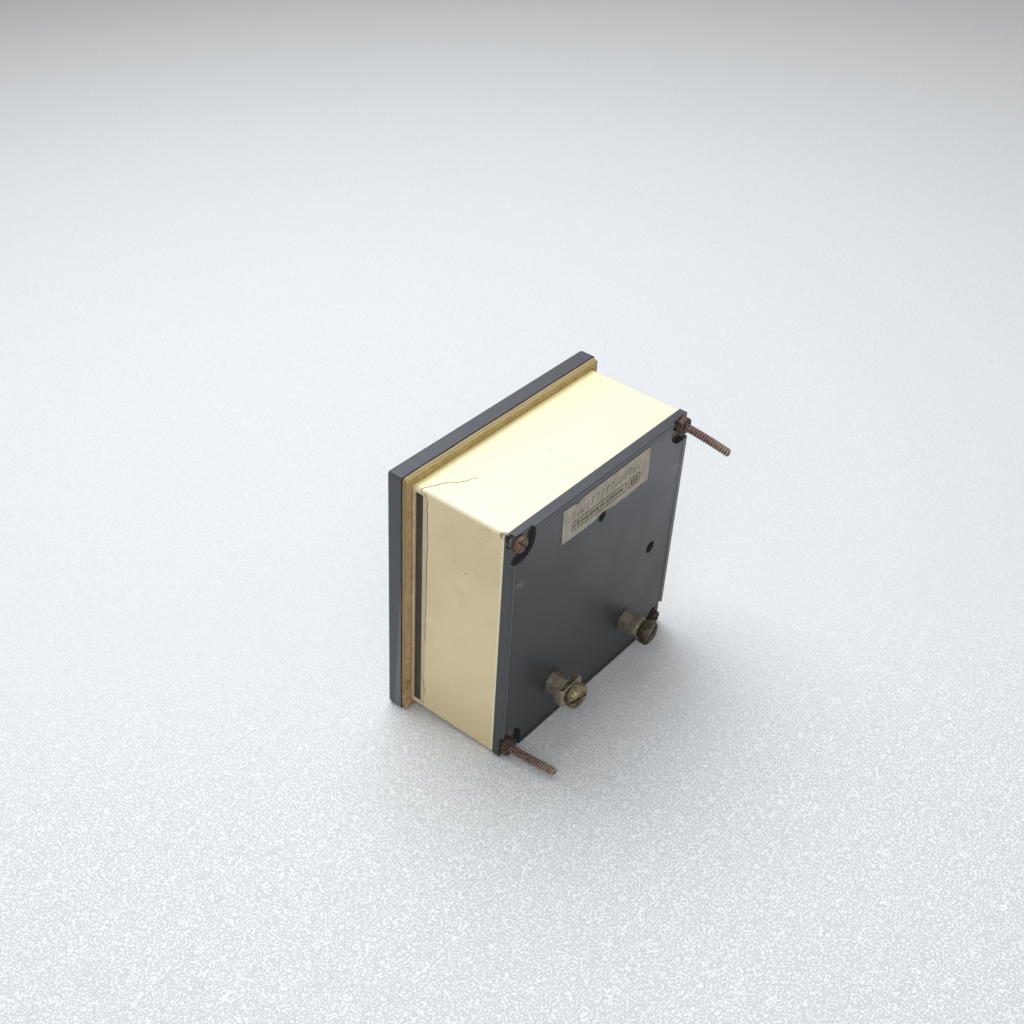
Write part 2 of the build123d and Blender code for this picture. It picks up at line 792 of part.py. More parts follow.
# Pointer: a thin blade with a point, a tail and two cross arms for the weights
pointer_rear = pointer_depth + pointer_thickness
hub_rear = pointer_depth + (pointer_thickness + hub_thickness) / 2
with BuildPart() as pointer:
    with BuildSketch(turned(pointer_rear, pointer_rest_angle)):
        with BuildLine():
            Polyline(
                (-pointer_tail, pointer_tail_half),
                (0, pointer_root_half),
                (pointer_length - pointer_point, pointer_tip_half),
                (pointer_length, 0),
                (pointer_length - pointer_point, -pointer_tip_half),
                (0, -pointer_root_half),
                (-pointer_tail, -pointer_tail_half),
                close=True,
            )
        make_face()
        Rectangle(2 * pointer_cross_half, 2 * pointer_cross)
    extrude(amount=pointer_thickness)
    with BuildSketch(turned(hub_rear, pointer_rest_angle)):
        Circle(hub_r)
    extrude(amount=hub_thickness)
    with BuildSketch(turned(hub_rear, pointer_rest_angle)):
        Circle(staff_r + running_gap)
    extrude(amount=hub_thickness, mode=Mode.SUBTRACT)
finish(pointer.part, "pointer")

# Balance weights: small discs behind the tail and the cross arms
with BuildPart() as balance_weights:
    with BuildSketch(turned(pointer_rear + weight_thickness, pointer_rest_angle)):
        with Locations((-tail_weight_place, 0)):
            Circle(tail_weight_r)
        with Locations((0, cross_weight_place), (0, -cross_weight_place)):
            Circle(weight_r)
    extrude(amount=weight_thickness)
finish(balance_weights.part, "balance_weights")

# Damping vane: a thin sector on the staff that swings in the magnet's gap
vane_rear = vane_depth + vane_thickness
with BuildPart() as damping_vane:
    with BuildSketch(turned(vane_rear, pointer_rest_angle)):
        with BuildLine():
            outer_arc = CenterArc((0, 0), vane_r, 180 - vane_half_angle, 2 * vane_half_angle)
            Line(outer_arc @ 0, (0, 0))
            Line((0, 0), outer_arc @ 1)
        make_face()
        Circle(vane_inner_r)
    extrude(amount=vane_thickness)
    with BuildSketch(turned(vane_depth + (vane_thickness + hub_thickness) / 2, pointer_rest_angle)):
        Circle(hub_r)
    extrude(amount=hub_thickness)
    with BuildSketch(turned(vane_rear + hub_thickness, pointer_rest_angle)):
        Circle(staff_r + running_gap)
    extrude(amount=2 * hub_thickness + vane_thickness, mode=Mode.SUBTRACT)
finish(damping_vane.part, "damping_vane")

# Damping magnet: a block with a gap that the vane passes through, on the front of the base
magnet_height = magnet_top - magnet_bottom
with BuildPart() as damping_magnet:
    with BuildSketch(upright(0)):
        with Locations(((magnet_front + base_front) / 2, (magnet_top + magnet_bottom) / 2)):
            Rectangle(base_front - magnet_front, magnet_height)
        gap_height = magnet_top - magnet_gap_bottom
        gap_width = magnet_gap_rear - magnet_gap_front
        with Locations(((magnet_gap_front + magnet_gap_rear) / 2, magnet_top - gap_height / 2)):
            Rectangle(gap_width, gap_height, mode=Mode.SUBTRACT)
    extrude(amount=magnet_half_width, both=True)
finish(damping_magnet.part, "damping_magnet")

# Movement base: a moulded plate on the two lower posts, with brackets that guide the scale plate
base_half = case_inner - base_side_gap
base_height = base_top + base_half
with BuildPart() as movement_base:
    with BuildSketch(across(post_front, z=base_top - base_height / 2)):
        Rectangle(2 * base_half, base_height)
    extrude(amount=post_front - base_front)
    bracket_front = plate_front - slide_gap - rail_thickness
    for bracket_middle in (bracket_x, -bracket_x):
        with BuildSketch(upright(bracket_middle)):
            with Locations(((bracket_front + base_front) / 2, (bracket_top + bracket_bottom) / 2)):
                Rectangle(base_front - bracket_front, bracket_top - bracket_bottom)
            with Locations((slot_middle, plate_bottom - slide_gap + overrun)):
                Rectangle(plate_thickness + 2 * slide_gap, 2 * overrun, mode=Mode.SUBTRACT)
        extrude(amount=bracket_width / 2, both=True)
    with BuildSketch(across(post_front, z=pivot_z)):
        Circle(base_hole_r)
    extrude(amount=post_front - base_front, mode=Mode.SUBTRACT)
    front_screw_z = (front_foot_top + front_foot_bottom) / 2
    with BuildSketch(across(post_front)):
        with Locations((front_screw_x, front_screw_z), (-front_screw_x, front_screw_z)):
            Circle(bridge_screw_r + running_gap)
        with Locations((rear_screw_x, pivot_z), (-rear_screw_x, pivot_z)):
            Circle(bridge_screw_r + running_gap)
    extrude(amount=post_front - base_front, mode=Mode.SUBTRACT)
finish(movement_base.part, "movement_base")

# Front bridge: a bent strip from the base, below the magnet, up to the front bearing
arm_rear = front_arm_depth + sheet_thickness
spine_top = front_spine_z + sheet_thickness
with BuildPart() as front_bridge:
    with BuildSketch(upright(0)):
        with BuildLine():
            FilletPolyline(
                (arm_rear - sheet_thickness / 2, pivot_z),
                (arm_rear - sheet_thickness / 2, front_spine_z + sheet_thickness / 2),
                (base_front, front_spine_z + sheet_thickness / 2),
                radius=bend_r,
            )
        trace(line_width=sheet_thickness)
    extrude(amount=front_arm_width / 2, both=True)
    with BuildSketch(across(arm_rear, z=pivot_z)):
        Circle(front_arm_end_r)
    extrude(amount=sheet_thickness)
    with BuildSketch(across(base_front, z=front_screw_z)):
        Rectangle(front_foot_width, front_foot_top - front_foot_bottom)
    extrude(amount=sheet_thickness)
    with BuildSketch(across(base_front)):
        with Locations((front_screw_x, front_screw_z), (-front_screw_x, front_screw_z)):
            Circle(bridge_screw_r + running_gap)
    extrude(amount=sheet_thickness, mode=Mode.SUBTRACT)
    with BuildSketch(across(arm_rear, z=pivot_z)):
        Circle(bearing_r + running_gap)
    extrude(amount=sheet_thickness, mode=Mode.SUBTRACT)
finish(front_bridge.part, "front_bridge")

# Rear bridge: a bent strip over the coil, with two feet on the base
with BuildPart() as rear_bridge:
    with BuildSketch(Plane.XY.offset(centre_z + pivot_z)):
        with BuildLine():
            foot_middle = panel_y + post_front + sheet_thickness / 2
            bar_middle = panel_y + rear_bridge_reach - sheet_thickness / 2
            leg_middle = rear_leg_x + sheet_thickness / 2
            FilletPolyline(
                (-rear_leg_x - rear_foot_length, foot_middle),
                (-leg_middle, foot_middle),
                (-leg_middle, bar_middle),
                (leg_middle, bar_middle),
                (leg_middle, foot_middle),
                (rear_leg_x + rear_foot_length, foot_middle),
                radius=bend_r,
            )
        trace(line_width=sheet_thickness)
    extrude(amount=rear_bridge_width / 2, both=True)
    with BuildSketch(across(post_front + sheet_thickness, z=pivot_z)):
        with Locations((rear_screw_x, 0), (-rear_screw_x, 0)):
            Circle(bridge_screw_r + running_gap)
    extrude(amount=sheet_thickness, mode=Mode.SUBTRACT)
    with BuildSketch(across(rear_bridge_reach, z=pivot_z)):
        Circle(bearing_r + running_gap)
    extrude(amount=sheet_thickness, mode=Mode.SUBTRACT)
finish(rear_bridge.part, "rear_bridge")

# Bridge screws: two through the front foot and two through the rear feet
with BuildPart() as bridge_screws:
    with BuildSketch(across(base_front - sheet_thickness)):
        with Locations((front_screw_x, front_screw_z), (-front_screw_x, front_screw_z)):
            Circle(bridge_screw_head_r)
    extrude(amount=bridge_screw_head_height)
    with BuildSketch(across(base_front - sheet_thickness + bridge_screw_length)):
        with Locations((front_screw_x, front_screw_z), (-front_screw_x, front_screw_z)):
            Circle(bridge_screw_r)
    extrude(amount=bridge_screw_length)
    with BuildSketch(across(post_front + sheet_thickness + bridge_screw_head_height)):
        with Locations((rear_screw_x, pivot_z), (-rear_screw_x, pivot_z)):
            Circle(bridge_screw_head_r)
    extrude(amount=bridge_screw_head_height)
    with BuildSketch(across(post_front + sheet_thickness)):
        with Locations((rear_screw_x, pivot_z), (-rear_screw_x, pivot_z)):
            Circle(bridge_screw_r)
    extrude(amount=bridge_screw_length)
finish(bridge_screws.part, "bridge_screws")


def bearing(depth_front, head_rear, bore_rear, name):
    """One bearing bush with a blind bore for a pivot and a head on its outer end."""
    with BuildPart() as bush:
        with BuildSketch(across(depth_front + bearing_length, z=pivot_z)):
            Circle(bearing_r)
        extrude(amount=bearing_length)
        with BuildSketch(across(head_rear, z=pivot_z)):
            Circle(bearing_head_r)
        extrude(amount=bearing_head_height)
        with BuildSketch(across(bore_rear, z=pivot_z)):
            Circle(pivot_r + running_gap)
        extrude(amount=bearing_bore_depth, mode=Mode.SUBTRACT)
    finish(bush.part, name)


front_seat = staff_front - seat_gap
rear_seat = staff_rear + seat_gap
front_head = front_seat - bearing_length + bearing_head_height
bearing(front_seat - bearing_length, front_head, front_seat, "front_bearing")
bearing(rear_seat, rear_seat + bearing_length, rear_seat + bearing_bore_depth, "rear_bearing")

# Coil bobbin: a flanged tube round the staff, on the rear of the base
with BuildPart() as coil_bobbin:
    with BuildSketch(along(0, pivot_z)):
        with BuildLine():
            Polyline(
                (post_front, coil_bore_r),
                (post_front, bobbin_flange_r),
                (post_front + bobbin_flange, bobbin_flange_r),
                (post_front + bobbin_flange, coil_bore_r + bobbin_tube),
                (coil_rear - bobbin_flange, coil_bore_r + bobbin_tube),
                (coil_rear - bobbin_flange, bobbin_flange_r),
                (coil_rear, bobbin_flange_r),
                (coil_rear, coil_bore_r),
                close=True,
            )
        make_face()
    revolve(axis=depth_axis(0, pivot_z))
finish(coil_bobbin.part, "coil_bobbin")

# Coil winding: enamelled wire between the flanges
with BuildPart() as coil_winding:
    with BuildSketch(across(coil_rear - bobbin_flange - running_gap, z=pivot_z)):
        Circle(winding_r)
        Circle(coil_bore_r + bobbin_tube + running_gap, mode=Mode.SUBTRACT)
    extrude(amount=coil_length - 2 * bobbin_flange - 2 * running_gap)
finish(coil_winding.part, "coil_winding")


def curved_plate(rear, length, angle, outer_r, thickness, half_angle):
    """A curved plate along the pivot, its middle at an angle on the dial."""
    with BuildPart() as band:
        with BuildSketch(turned(rear, angle)):
            with BuildLine():
                outer = CenterArc((0, 0), outer_r, -half_angle, 2 * half_angle)
                inner = CenterArc((0, 0), outer_r - thickness, -half_angle, 2 * half_angle)
                Line(outer @ 0, inner @ 0)
                Line(outer @ 1, inner @ 1)
            make_face()
        extrude(amount=length)
    return band.part


# Fixed iron: a curved plate in the bobbin's bore
fixed_iron = curved_plate(
    coil_rear - iron_end_gap,
    coil_length - 2 * iron_end_gap,
    fixed_iron_angle,
    fixed_iron_r,
    fixed_iron_thickness,
    fixed_iron_half_angle,
)
finish(fixed_iron, "fixed_iron")

# Moving iron: a smaller curved plate on the staff, pushed away by the fixed one
coil_middle = post_front + coil_length / 2
with BuildPart() as moving_iron:
    moving_rear = coil_middle + moving_iron_length / 2
    moving_shape = (moving_iron_r, moving_iron_thickness, moving_iron_half_angle)
    add(curved_plate(moving_rear, moving_iron_length, moving_iron_angle, *moving_shape))
    with BuildSketch(turned(coil_middle + moving_iron_web_length / 2, moving_iron_angle)):
        web_reach = moving_iron_r - moving_iron_thickness / 2
        with Locations((web_reach / 2, 0)):
            Rectangle(web_reach, moving_iron_web)
        Circle(2 * staff_r)
        Circle(staff_r + running_gap, mode=Mode.SUBTRACT)
    extrude(amount=moving_iron_web_length)
finish(moving_iron.part, "moving_iron")
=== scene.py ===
import json
import math
import random

import bmesh
import bpy
from mathutils import Matrix, Vector


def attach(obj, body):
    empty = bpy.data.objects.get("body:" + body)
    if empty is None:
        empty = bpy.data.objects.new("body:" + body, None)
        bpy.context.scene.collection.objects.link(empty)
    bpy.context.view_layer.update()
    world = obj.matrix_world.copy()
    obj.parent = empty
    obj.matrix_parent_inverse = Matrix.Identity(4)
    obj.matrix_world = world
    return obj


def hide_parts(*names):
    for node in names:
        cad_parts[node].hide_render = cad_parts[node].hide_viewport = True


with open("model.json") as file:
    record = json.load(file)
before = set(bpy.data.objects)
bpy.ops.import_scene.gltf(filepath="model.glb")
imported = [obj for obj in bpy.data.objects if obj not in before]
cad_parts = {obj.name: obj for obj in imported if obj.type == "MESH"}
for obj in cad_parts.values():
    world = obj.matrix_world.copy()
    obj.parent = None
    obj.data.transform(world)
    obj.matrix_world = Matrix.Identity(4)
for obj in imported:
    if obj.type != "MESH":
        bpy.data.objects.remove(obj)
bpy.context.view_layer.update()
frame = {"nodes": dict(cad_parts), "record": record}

# An analog panel meter of the 96 mm size. Lengths are in millimetres and turned to metres by mm().
# X runs to the right as the dial is read, Y backwards to the terminals, Z up. Left, right, upper and
# lower are meant as the dial is read. A depth is counted from the panel's front face, at PANEL_Y, and
# places on the meter are counted from its middle, at CENTRE_Z.

PANEL_Y = -26.9
CENTRE_Z = 48.0
FACE_DEPTH = 40.9  # the rear cover's face
REAR_DEPTH = 41.3  # the rim round that face
PARAPET_DEPTH = 39.9  # the seats of nuts and screw heads in the cover's corners
CASE_HALF = 44.8
COVER_HALF = 45.1
RIM_WIDTH = 1.2
FIXING = 41.7  # studs and cover screws, from the middle
TERMINAL_X = 20.2
TERMINAL_Z = -28.1
PIVOT_Z = -24.0
METER = "meter"
SQUARE = ((-1, -1), (1, -1), (1, 1), (-1, 1))


def mm(*lengths):
    """Millimetres to metres, one length or a place."""
    if len(lengths) == 1:
        return lengths[0] / 1000
    return Vector(lengths) / 1000


def place(x, depth, z):
    """A place from the face's centre and a depth, in metres in the part's frame."""
    return mm(x, PANEL_Y + depth, CENTRE_Z + z)


def turned(across, up, angle):
    """A place turned about the origin by an angle in degrees, from across towards up."""
    turn = math.radians(angle)
    return across * math.cos(turn) - up * math.sin(turn), across * math.sin(turn) + up * math.cos(turn)


def rectangle(x, z, width, height, angle=0, slant=0):
    """The corners of a rectangle round a middle, its top moved by a slant and all turned by an angle."""
    corners = []
    for a, b in SQUARE:
        across, up = turned(a * width / 2 + max(0, b) * slant, b * height / 2, angle)
        corners.append((x + across, z + up))
    return corners


def new_object(name, data):
    """An object in the scene."""
    made = bpy.data.objects.new(name, data)
    bpy.context.scene.collection.objects.link(made)
    return made


# Camera

CAMERA_AZIMUTH = math.radians(126.98)
CAMERA_ELEVATION = math.radians(37.60)
CAMERA_ROLL = math.radians(3.582)
CAMERA_PLACE = mm(289.2, 196.25, 337.92)
CAMERA_LENS = 48.694
CAMERA_SENSOR = 36


def make_camera():
    """The camera at the photograph's viewing angle."""
    back = Vector((
        math.sin(CAMERA_AZIMUTH) * math.cos(CAMERA_ELEVATION),
        -math.cos(CAMERA_AZIMUTH) * math.cos(CAMERA_ELEVATION),
        math.sin(CAMERA_ELEVATION),
    ))
    right = (-back).cross(Vector((0, 0, 1))).normalized()
    data = bpy.data.cameras.new("camera")
    data.sensor_width = CAMERA_SENSOR
    data.lens = CAMERA_LENS
    data.clip_start, data.clip_end = 0.01, 50
    camera = new_object("camera", data)
    level = Matrix((right, right.cross(-back), back)).transposed().to_4x4()
    roll = Matrix.Rotation(CAMERA_ROLL, 4, "Z")
    camera.matrix_world = Matrix.Translation(CAMERA_PLACE) @ level @ roll
    bpy.context.scene.camera = camera


make_camera()

# Colours and nodes


def linear(code):
    """An sRGB hex colour as linear red, green, blue and alpha."""
    values = [int(code[i:i + 2], 16) / 255 for i in (1, 3, 5)]
    return tuple(v / 12.92 if v <= 0.04045 else ((v + 0.055) / 1.055) ** 2.4 for v in values) + (1.0,)


def per_mm(size):
    """The scale of a pattern whose features are a size in millimetres."""
    return 1000 / size


def add_node(tree, kind, inputs=None, **settings):
    """One shader node with its settings, and with its inputs set to values or linked to outputs."""
    made = tree.nodes.new("ShaderNode" + kind)
    for name, value in settings.items():
        setattr(made, name, value)
    for socket, value in (inputs or {}).items():
        if isinstance(value, bpy.types.NodeSocket):
            tree.links.new(value, made.inputs[socket])
        else:
            made.inputs[socket].default_value = value
    return made


def new_material(name, **sockets):
    """A material with typical values on its shader's sockets, its node tree, and the surface's place in
    the part's frame, which moves with the piece."""
    material = bpy.data.materials.new(name)
    material.use_nodes = True
    tree = material.node_tree
    for socket, value in sockets.items():
        tree.nodes["Principled BSDF"].inputs[socket.replace("_", " ")].default_value = value
    return material, tree, add_node(tree, "TexCoord").outputs["Object"]


def from_face(tree, where):
    """The surface's x, depth and height, from the middle of the panel's face."""
    moved = add_node(tree, "VectorMath", {0: where, 1: tuple(place(0, 0, 0))}, operation="SUBTRACT")
    return list(add_node(tree, "SeparateXYZ", {0: moved.outputs[0]}).outputs)


def facing(tree):
    """The x, y and z of the way that the surface faces in the part's frame."""
    normal = add_node(tree, "NewGeometry").outputs["Normal"]
    moved = add_node(
        tree, "VectorTransform", {0: normal},
        vector_type="NORMAL", convert_from="WORLD", convert_to="OBJECT",
    )
    return list(add_node(tree, "SeparateXYZ", {0: moved.outputs[0]}).outputs)


def share(tree, *parts):
    """The product of several shares: numbers, outputs, or smooth changes. A change is a tuple of an
    output, the two values that it runs between and, where they aren't 0 and 1, the shares there."""
    result = None
    for part in parts:
        if isinstance(part, tuple):
            value, low, high, at_low, at_high = part if len(part) == 5 else (*part, 0.0, 1.0)
            if low > high:
                low, high, at_low, at_high = high, low, at_high, at_low
            part = add_node(
                tree, "MapRange",
                {"Value": value, "From Min": low, "From Max": high, "To Min": at_low, "To Max": at_high},
                interpolation_type="SMOOTHSTEP",
            ).outputs[0]
        result = part if result is None else add_node(
            tree, "Math", {0: result, 1: part}, operation="MULTIPLY"
        ).outputs[0]
    return result


def most(tree, *parts):
    """The largest of several shares."""
    result = parts[0]
    for part in parts[1:]:
        result = add_node(tree, "Math", {0: result, 1: part}, operation="MAXIMUM").outputs[0]
    return result


def within(tree, value, low, high, soft):
    """1 between two places on an axis in millimetres, falling to 0 over soft edges."""
    half = (high - low) / 2
    off = add_node(tree, "Math", {0: value, 1: mm(low + half)}, operation="SUBTRACT").outputs[0]
    away = add_node(tree, "Math", {0: off}, operation="ABSOLUTE").outputs[0]
    return share(tree, (away, mm(half), mm(half + soft), 1.0, 0.0))


def spots(tree, where, *marks):
    """1 inside any of several balls, each a place with a radius and a soft edge in millimetres."""
    balls = []
    for centre, radius, soft in marks:
        away = add_node(tree, "VectorMath", {0: where, 1: tuple(centre)}, operation="DISTANCE")
        balls.append(share(tree, (away.outputs["Value"], mm(radius), mm(radius + soft), 1.0, 0.0)))
    return most(tree, *balls)


def patches(tree, where, size, low, high, detail=4.0, stretch=(1, 1, 1), shift=0.0, lean=0.0):
    """Blurred patches from 0 to 1 of a size in millimetres, between two levels of noise. They can be
    stretched along the axes, shifted, and leant about the depth axis by an angle in degrees."""
    if stretch != (1, 1, 1) or shift:
        moved = {0: where, 1: (shift, shift * 0.7, -shift), 2: (0, math.radians(lean), 0), 3: stretch}
        where = add_node(tree, "Mapping", moved).outputs[0]
    noise = add_node(
        tree, "TexNoise",
        {"Vector": where, "Scale": per_mm(size), "Detail": detail, "Roughness": 0.55},
    )
    return share(tree, (noise.outputs[0], low, high))


def coat(tree, colour, *layers):
    """A colour under layers, each a colour with its shares. A colour is a hex code or an output."""
    for upper, *shares in layers:
        colour, upper = (linear(c) if isinstance(c, str) else c for c in (colour, upper))
        mixed = add_node(tree, "Mix", {0: share(tree, *shares), 6: colour, 7: upper}, data_type="RGBA")
        colour = mixed.outputs[2]
    return colour


def dress(material, colour, *grains, gloss=None):
    """The material with its colour, its grains, each a height from 0 to 1 with its depth in
    millimetres, and, where gloss says so, a roughness that changes."""
    tree = material.node_tree
    shader = tree.nodes["Principled BSDF"]
    if colour:
        tree.links.new(colour, shader.inputs["Base Color"])
    if gloss:
        tree.links.new(share(tree, gloss), shader.inputs["Roughness"])
    inputs = {"Strength": 1.0}
    for height, depth in grains:
        made = add_node(tree, "Bump", {**inputs, "Height": height, "Distance": mm(depth)})
        inputs["Normal"] = made.outputs[0]
    if grains:
        tree.links.new(inputs["Normal"], shader.inputs["Normal"])
    return material


# Materials

MOULD_GRAIN = 0.35  # a real mould's grain of about 0.05 mm, drawn coarser so that it shows
MOULD_GRAIN_DEPTH = 0.02


def moulding_skin(tree, where, body, faded, dust):
    """The skin of a dark moulding: faded clouds, fine rubs along the width and light dust specks. Also
    its clouds and its grain."""
    clouds = patches(tree, where, 22, 0.35, 0.7)
    rubs = patches(tree, where, 3.2, 0.62, 0.78, stretch=(1, 3.2, 1), shift=0.3)
    specks = patches(tree, where, 0.9, 0.69, 0.75, detail=2, shift=0.9)
    grain = patches(tree, where, MOULD_GRAIN, 0.3, 0.7, detail=2)
    return coat(tree, body, (faded, clouds, 0.8), (faded, rubs, 0.35), (dust, specks, 0.3)), clouds, grain


def frame_plastic():
    """Moulded phenolic bezel, IOR 1.5: dark grey and satin, with a painted bluish sky tint on top, dirt
    and painted shade on the rear edge, and a paler wedge low on its right side that is a painted highlight."""
    material, tree, where = new_material("moulded_phenolic_bezel", Roughness=0.44, IOR=1.5)
    _, depth, height = from_face(tree, where)
    way = facing(tree)
    skin, clouds, grain = moulding_skin(tree, where, "#404244", "#4a4c4f", "#777876")
    wedge = add_node(tree, "Math", {0: height, 1: -0.05, 2: depth}, operation="MULTIPLY_ADD").outputs[0]
    colour = coat(
        tree, skin,
        # a painted bluish sky tint on the upward faces
        ("#3d3f46", (way[2], 0.4, 0.95), 0.8),
        # a painted highlight: a paler wedge low on the right side
        ("#7d8080", (wedge, mm(-0.55), mm(-0.25)), (way[0], 0.5, 0.9), 0.4),
        # dirt and painted shade on the rear-facing faces
        ("#33291f", (way[1], 0.4, 0.9), 0.75),
    )
    return dress(material, colour, (grain, MOULD_GRAIN_DEPTH), gloss=(clouds, 0.0, 1.0, 0.40, 0.52))


# marks on the cover's face, by x, z, radius and soft edge, and the painted shadow and highlight at its broken
# corner
HOLE_DARKENING = ((0.7, 28.5, 2.1, 0.25), (-31.5, -3.0, 2.45, 0.2))
BROKEN_GAP_SHADOW = (place(44.9, 38.2, 44.3), 1.2, 0.4)
BROKEN_SLIVER_HIGHLIGHT = (place(44.6, 40.1, 44.6), 0.55, 0.3)
SCRATCHED = ((-41, 25, 2.0, 2.5), (41, 26, 1.2, 1.5), (-3, 12, 0.6, 1.2))


def cover_plastic():
    """Moulded phenolic cover, IOR 1.5: darker than the bezel and finely rubbed, with painted light: a
    reflection paler towards the upper left, a sky tint on top, highlights on the rim, shade along the
    rim's foot and light in the corner recesses, which hold pale dust. Also a few light scratches."""
    material, tree, where = new_material("moulded_phenolic_cover", Roughness=0.46, IOR=1.5)
    x, depth, height = from_face(tree, where)
    way = facing(tree)
    skin, clouds, grain = moulding_skin(tree, where, "#37383a", "#454648", "#77776f")
    rear, right = share(tree, (way[1], 0.5, 0.9)), share(tree, (way[0], 0.5, 0.9))
    upper_left = add_node(tree, "Math", {0: x, 1: -0.5, 2: height}, operation="MULTIPLY_ADD").outputs[0]
    face = share(tree, rear, (depth, mm(FACE_DEPTH - 0.4), mm(FACE_DEPTH - 0.2)))
    rim_foot = COVER_HALF - RIM_WIDTH
    # painted shade along the foot of the rim, on the right and on top
    foot = [within(tree, out, rim_foot - 0.55, rim_foot + 0.05, 0.25) for out in (x, height)]
    holes, scratched = (
        spots(tree, where, *((place(a, FACE_DEPTH, b), radius, soft) for a, b, radius, soft in marks))
        for marks in (HOLE_DARKENING, SCRATCHED)
    )
    # the corner recesses get pale dust and painted light that lifts their shade
    corners = [(place(a * FIXING, PARAPET_DEPTH - 0.9, b * FIXING), 6.2, 0.6) for a, b in SQUARE]
    below = (depth, mm(PARAPET_DEPTH - 0.6), mm(PARAPET_DEPTH - 1.7))
    recess = share(tree, spots(tree, where, *corners), below)
    inner = COVER_HALF - 0.9
    inside = share(tree, *(within(tree, out, -inner, inner, 0.3) for out in (x, height)))
    lines = patches(tree, where, 0.6, 0.55, 0.62, detail=1, stretch=(0.12, 1, 1), lean=-52)
    colour = coat(
        tree, skin,
        # painted light: a reflection paler towards the upper left, a bluish sky tint on top, and a little
        # paler on the right side
        ("#5c5d62", (upper_left, mm(8), mm(52)), rear),
        ("#3a3b41", (way[2], 0.4, 0.95), 0.8),
        ("#393c3f", right, 0.7),
        # the left rim's inner wall and the rim's top are painted pale: painted highlights where they catch
        # the light
        ("#a4a7aa", right, (x, mm(-42), mm(-43))),
        ("#5c5e61", (depth, mm(REAR_DEPTH - 0.2), mm(REAR_DEPTH - 0.1)), (way[1], 0.3, 0.9), 0.6),
        # painted shade along the foot of the rim, above and to the right, and darkening round the two holes,
        # and pale dust with painted light in the recesses
        ("#151516", most(tree, *foot, holes), face, 0.85),
        ("#918985", recess, inside, 0.9),
        # a broken edge at the upper right corner: painted shadow in its gap, with a painted highlight on a
        # sliver beside it
        ("#1b1817", spots(tree, where, BROKEN_GAP_SHADOW), 0.9),
        ("#b4b6ba", spots(tree, where, BROKEN_SLIVER_HIGHLIGHT), 0.9),
        ("#8f9093", lines, scratched, 0.6),
    )
    return dress(material, colour, (grain, MOULD_GRAIN_DEPTH), gloss=(clouds, 0.0, 1.0, 0.42, 0.54))


# depth, height and radius on the right side, and x and depth on the top
CASE_SMUDGES = (
    (28.0, 39.0, 1.3), (27.4, 36.8, 0.8), (35.4, 36.7, 0.6), (20.2, 24.7, 1.3), (23.5, 22.5, 1.6),
    (27.2, 24.9, 0.7), (30.1, 21.1, 0.9), (21.2, 13.3, 1.1), (22.2, 10.0, 0.8), (17.3, -28.6, 0.5),
    (12.8, -37.6, 0.9), (30.6, 42.4, 1.0),
)
TOP_SPECKS = ((36.7, 4.8), (9.7, 25.3), (2.2, 20.2))
CORNER_STAIN = (place(CASE_HALF, 36.7, 44.4), 1.1, 0.9)


def aged_cream():
    """Yellowed moulded polystyrene case, IOR 1.55: satin cream, with painted light: a paler top, whiter
    towards the rear as a painted reflection, browner sides as painted shade and pale rounded edges as a
    painted highlight. With scuffs and soil by the gasket."""
    material, tree, where = new_material("aged_cream_polystyrene", Roughness=0.34, IOR=1.55)
    depth = from_face(tree, where)[1]
    way = facing(tree)
    sideways = add_node(tree, "Math", {0: way[0]}, operation="ABSOLUTE").outputs[0]
    on_side = share(tree, (sideways, 0.7, 0.95))
    # painted light: the sides are a shaded, browner copy of the cream, the top a lit, paler copy, whiter
    # towards the rear as a painted reflection
    side = coat(tree, "#e1cfa4", ("#d5c398", patches(tree, where, 30, 0.35, 0.68)))
    lid = coat(tree, "#f3eabd", ("#f2eac8", (depth, mm(4), mm(22))))
    soil = patches(tree, where, 2.0, 0.36, 0.66, detail=5)
    fine = patches(tree, where, 0.8, 0.52, 0.63, detail=4, shift=0.4)
    smudges = spots(tree, where, *((place(CASE_HALF, d, h), r, 1.8) for d, h, r in CASE_SMUDGES))
    specks = spots(tree, where, *((place(a, b, CASE_HALF), 0.12, 0.35) for a, b in TOP_SPECKS))
    colour = coat(
        tree, side,
        # the lit top over the shaded sides, painted light
        (lid, (way[2], 0.55, 0.9)),
        # the rounded edge beside the top is a paler band, a painted highlight, with a thin dull line on it
        ("#e6dcb4", (way[2], 0.12, 0.3), (way[2], 0.93, 0.8), 0.7),
        ("#a89e76", (way[2], 0.80, 0.9), (way[2], 0.995, 0.93), 0.8),
        # a duller lip behind the slot, a brown stain at the upper rear corner, by the broken edge of
        # the cover, and a paler strip beside the cover, where the side was masked
        ("#a79a81", within(tree, depth, 6.1, 7.55, 0.15), on_side, 0.5),
        ("#6f4f38", spots(tree, where, CORNER_STAIN), 0.8),
        ("#e9e2c2", within(tree, depth, 36.7, 37.6, 0.8), on_side, 0.75),
        # soil behind the gasket: brown on the side, yellow on the top
        ("#a5826b", within(tree, depth, 0.0, 2.35, 0.5), on_side, (soil, 0.0, 1.0, 0.2, 0.6)),
        ("#d9c27c", (depth, mm(5.5), mm(1.8)), (way[2], 0.6, 0.95), 0.45),
        # scuffs on the right side and three specks on the top, at the places where they show
        ("#857350", smudges, fine, 0.38),
        ("#6b6450", specks, 0.6),
    )
    sinks = patches(tree, where, 9, 0.2, 0.8, detail=1)
    grain = patches(tree, where, 0.3, 0.3, 0.7, detail=1)
    return dress(material, colour, (sinks, 0.03), (grain, 0.005))


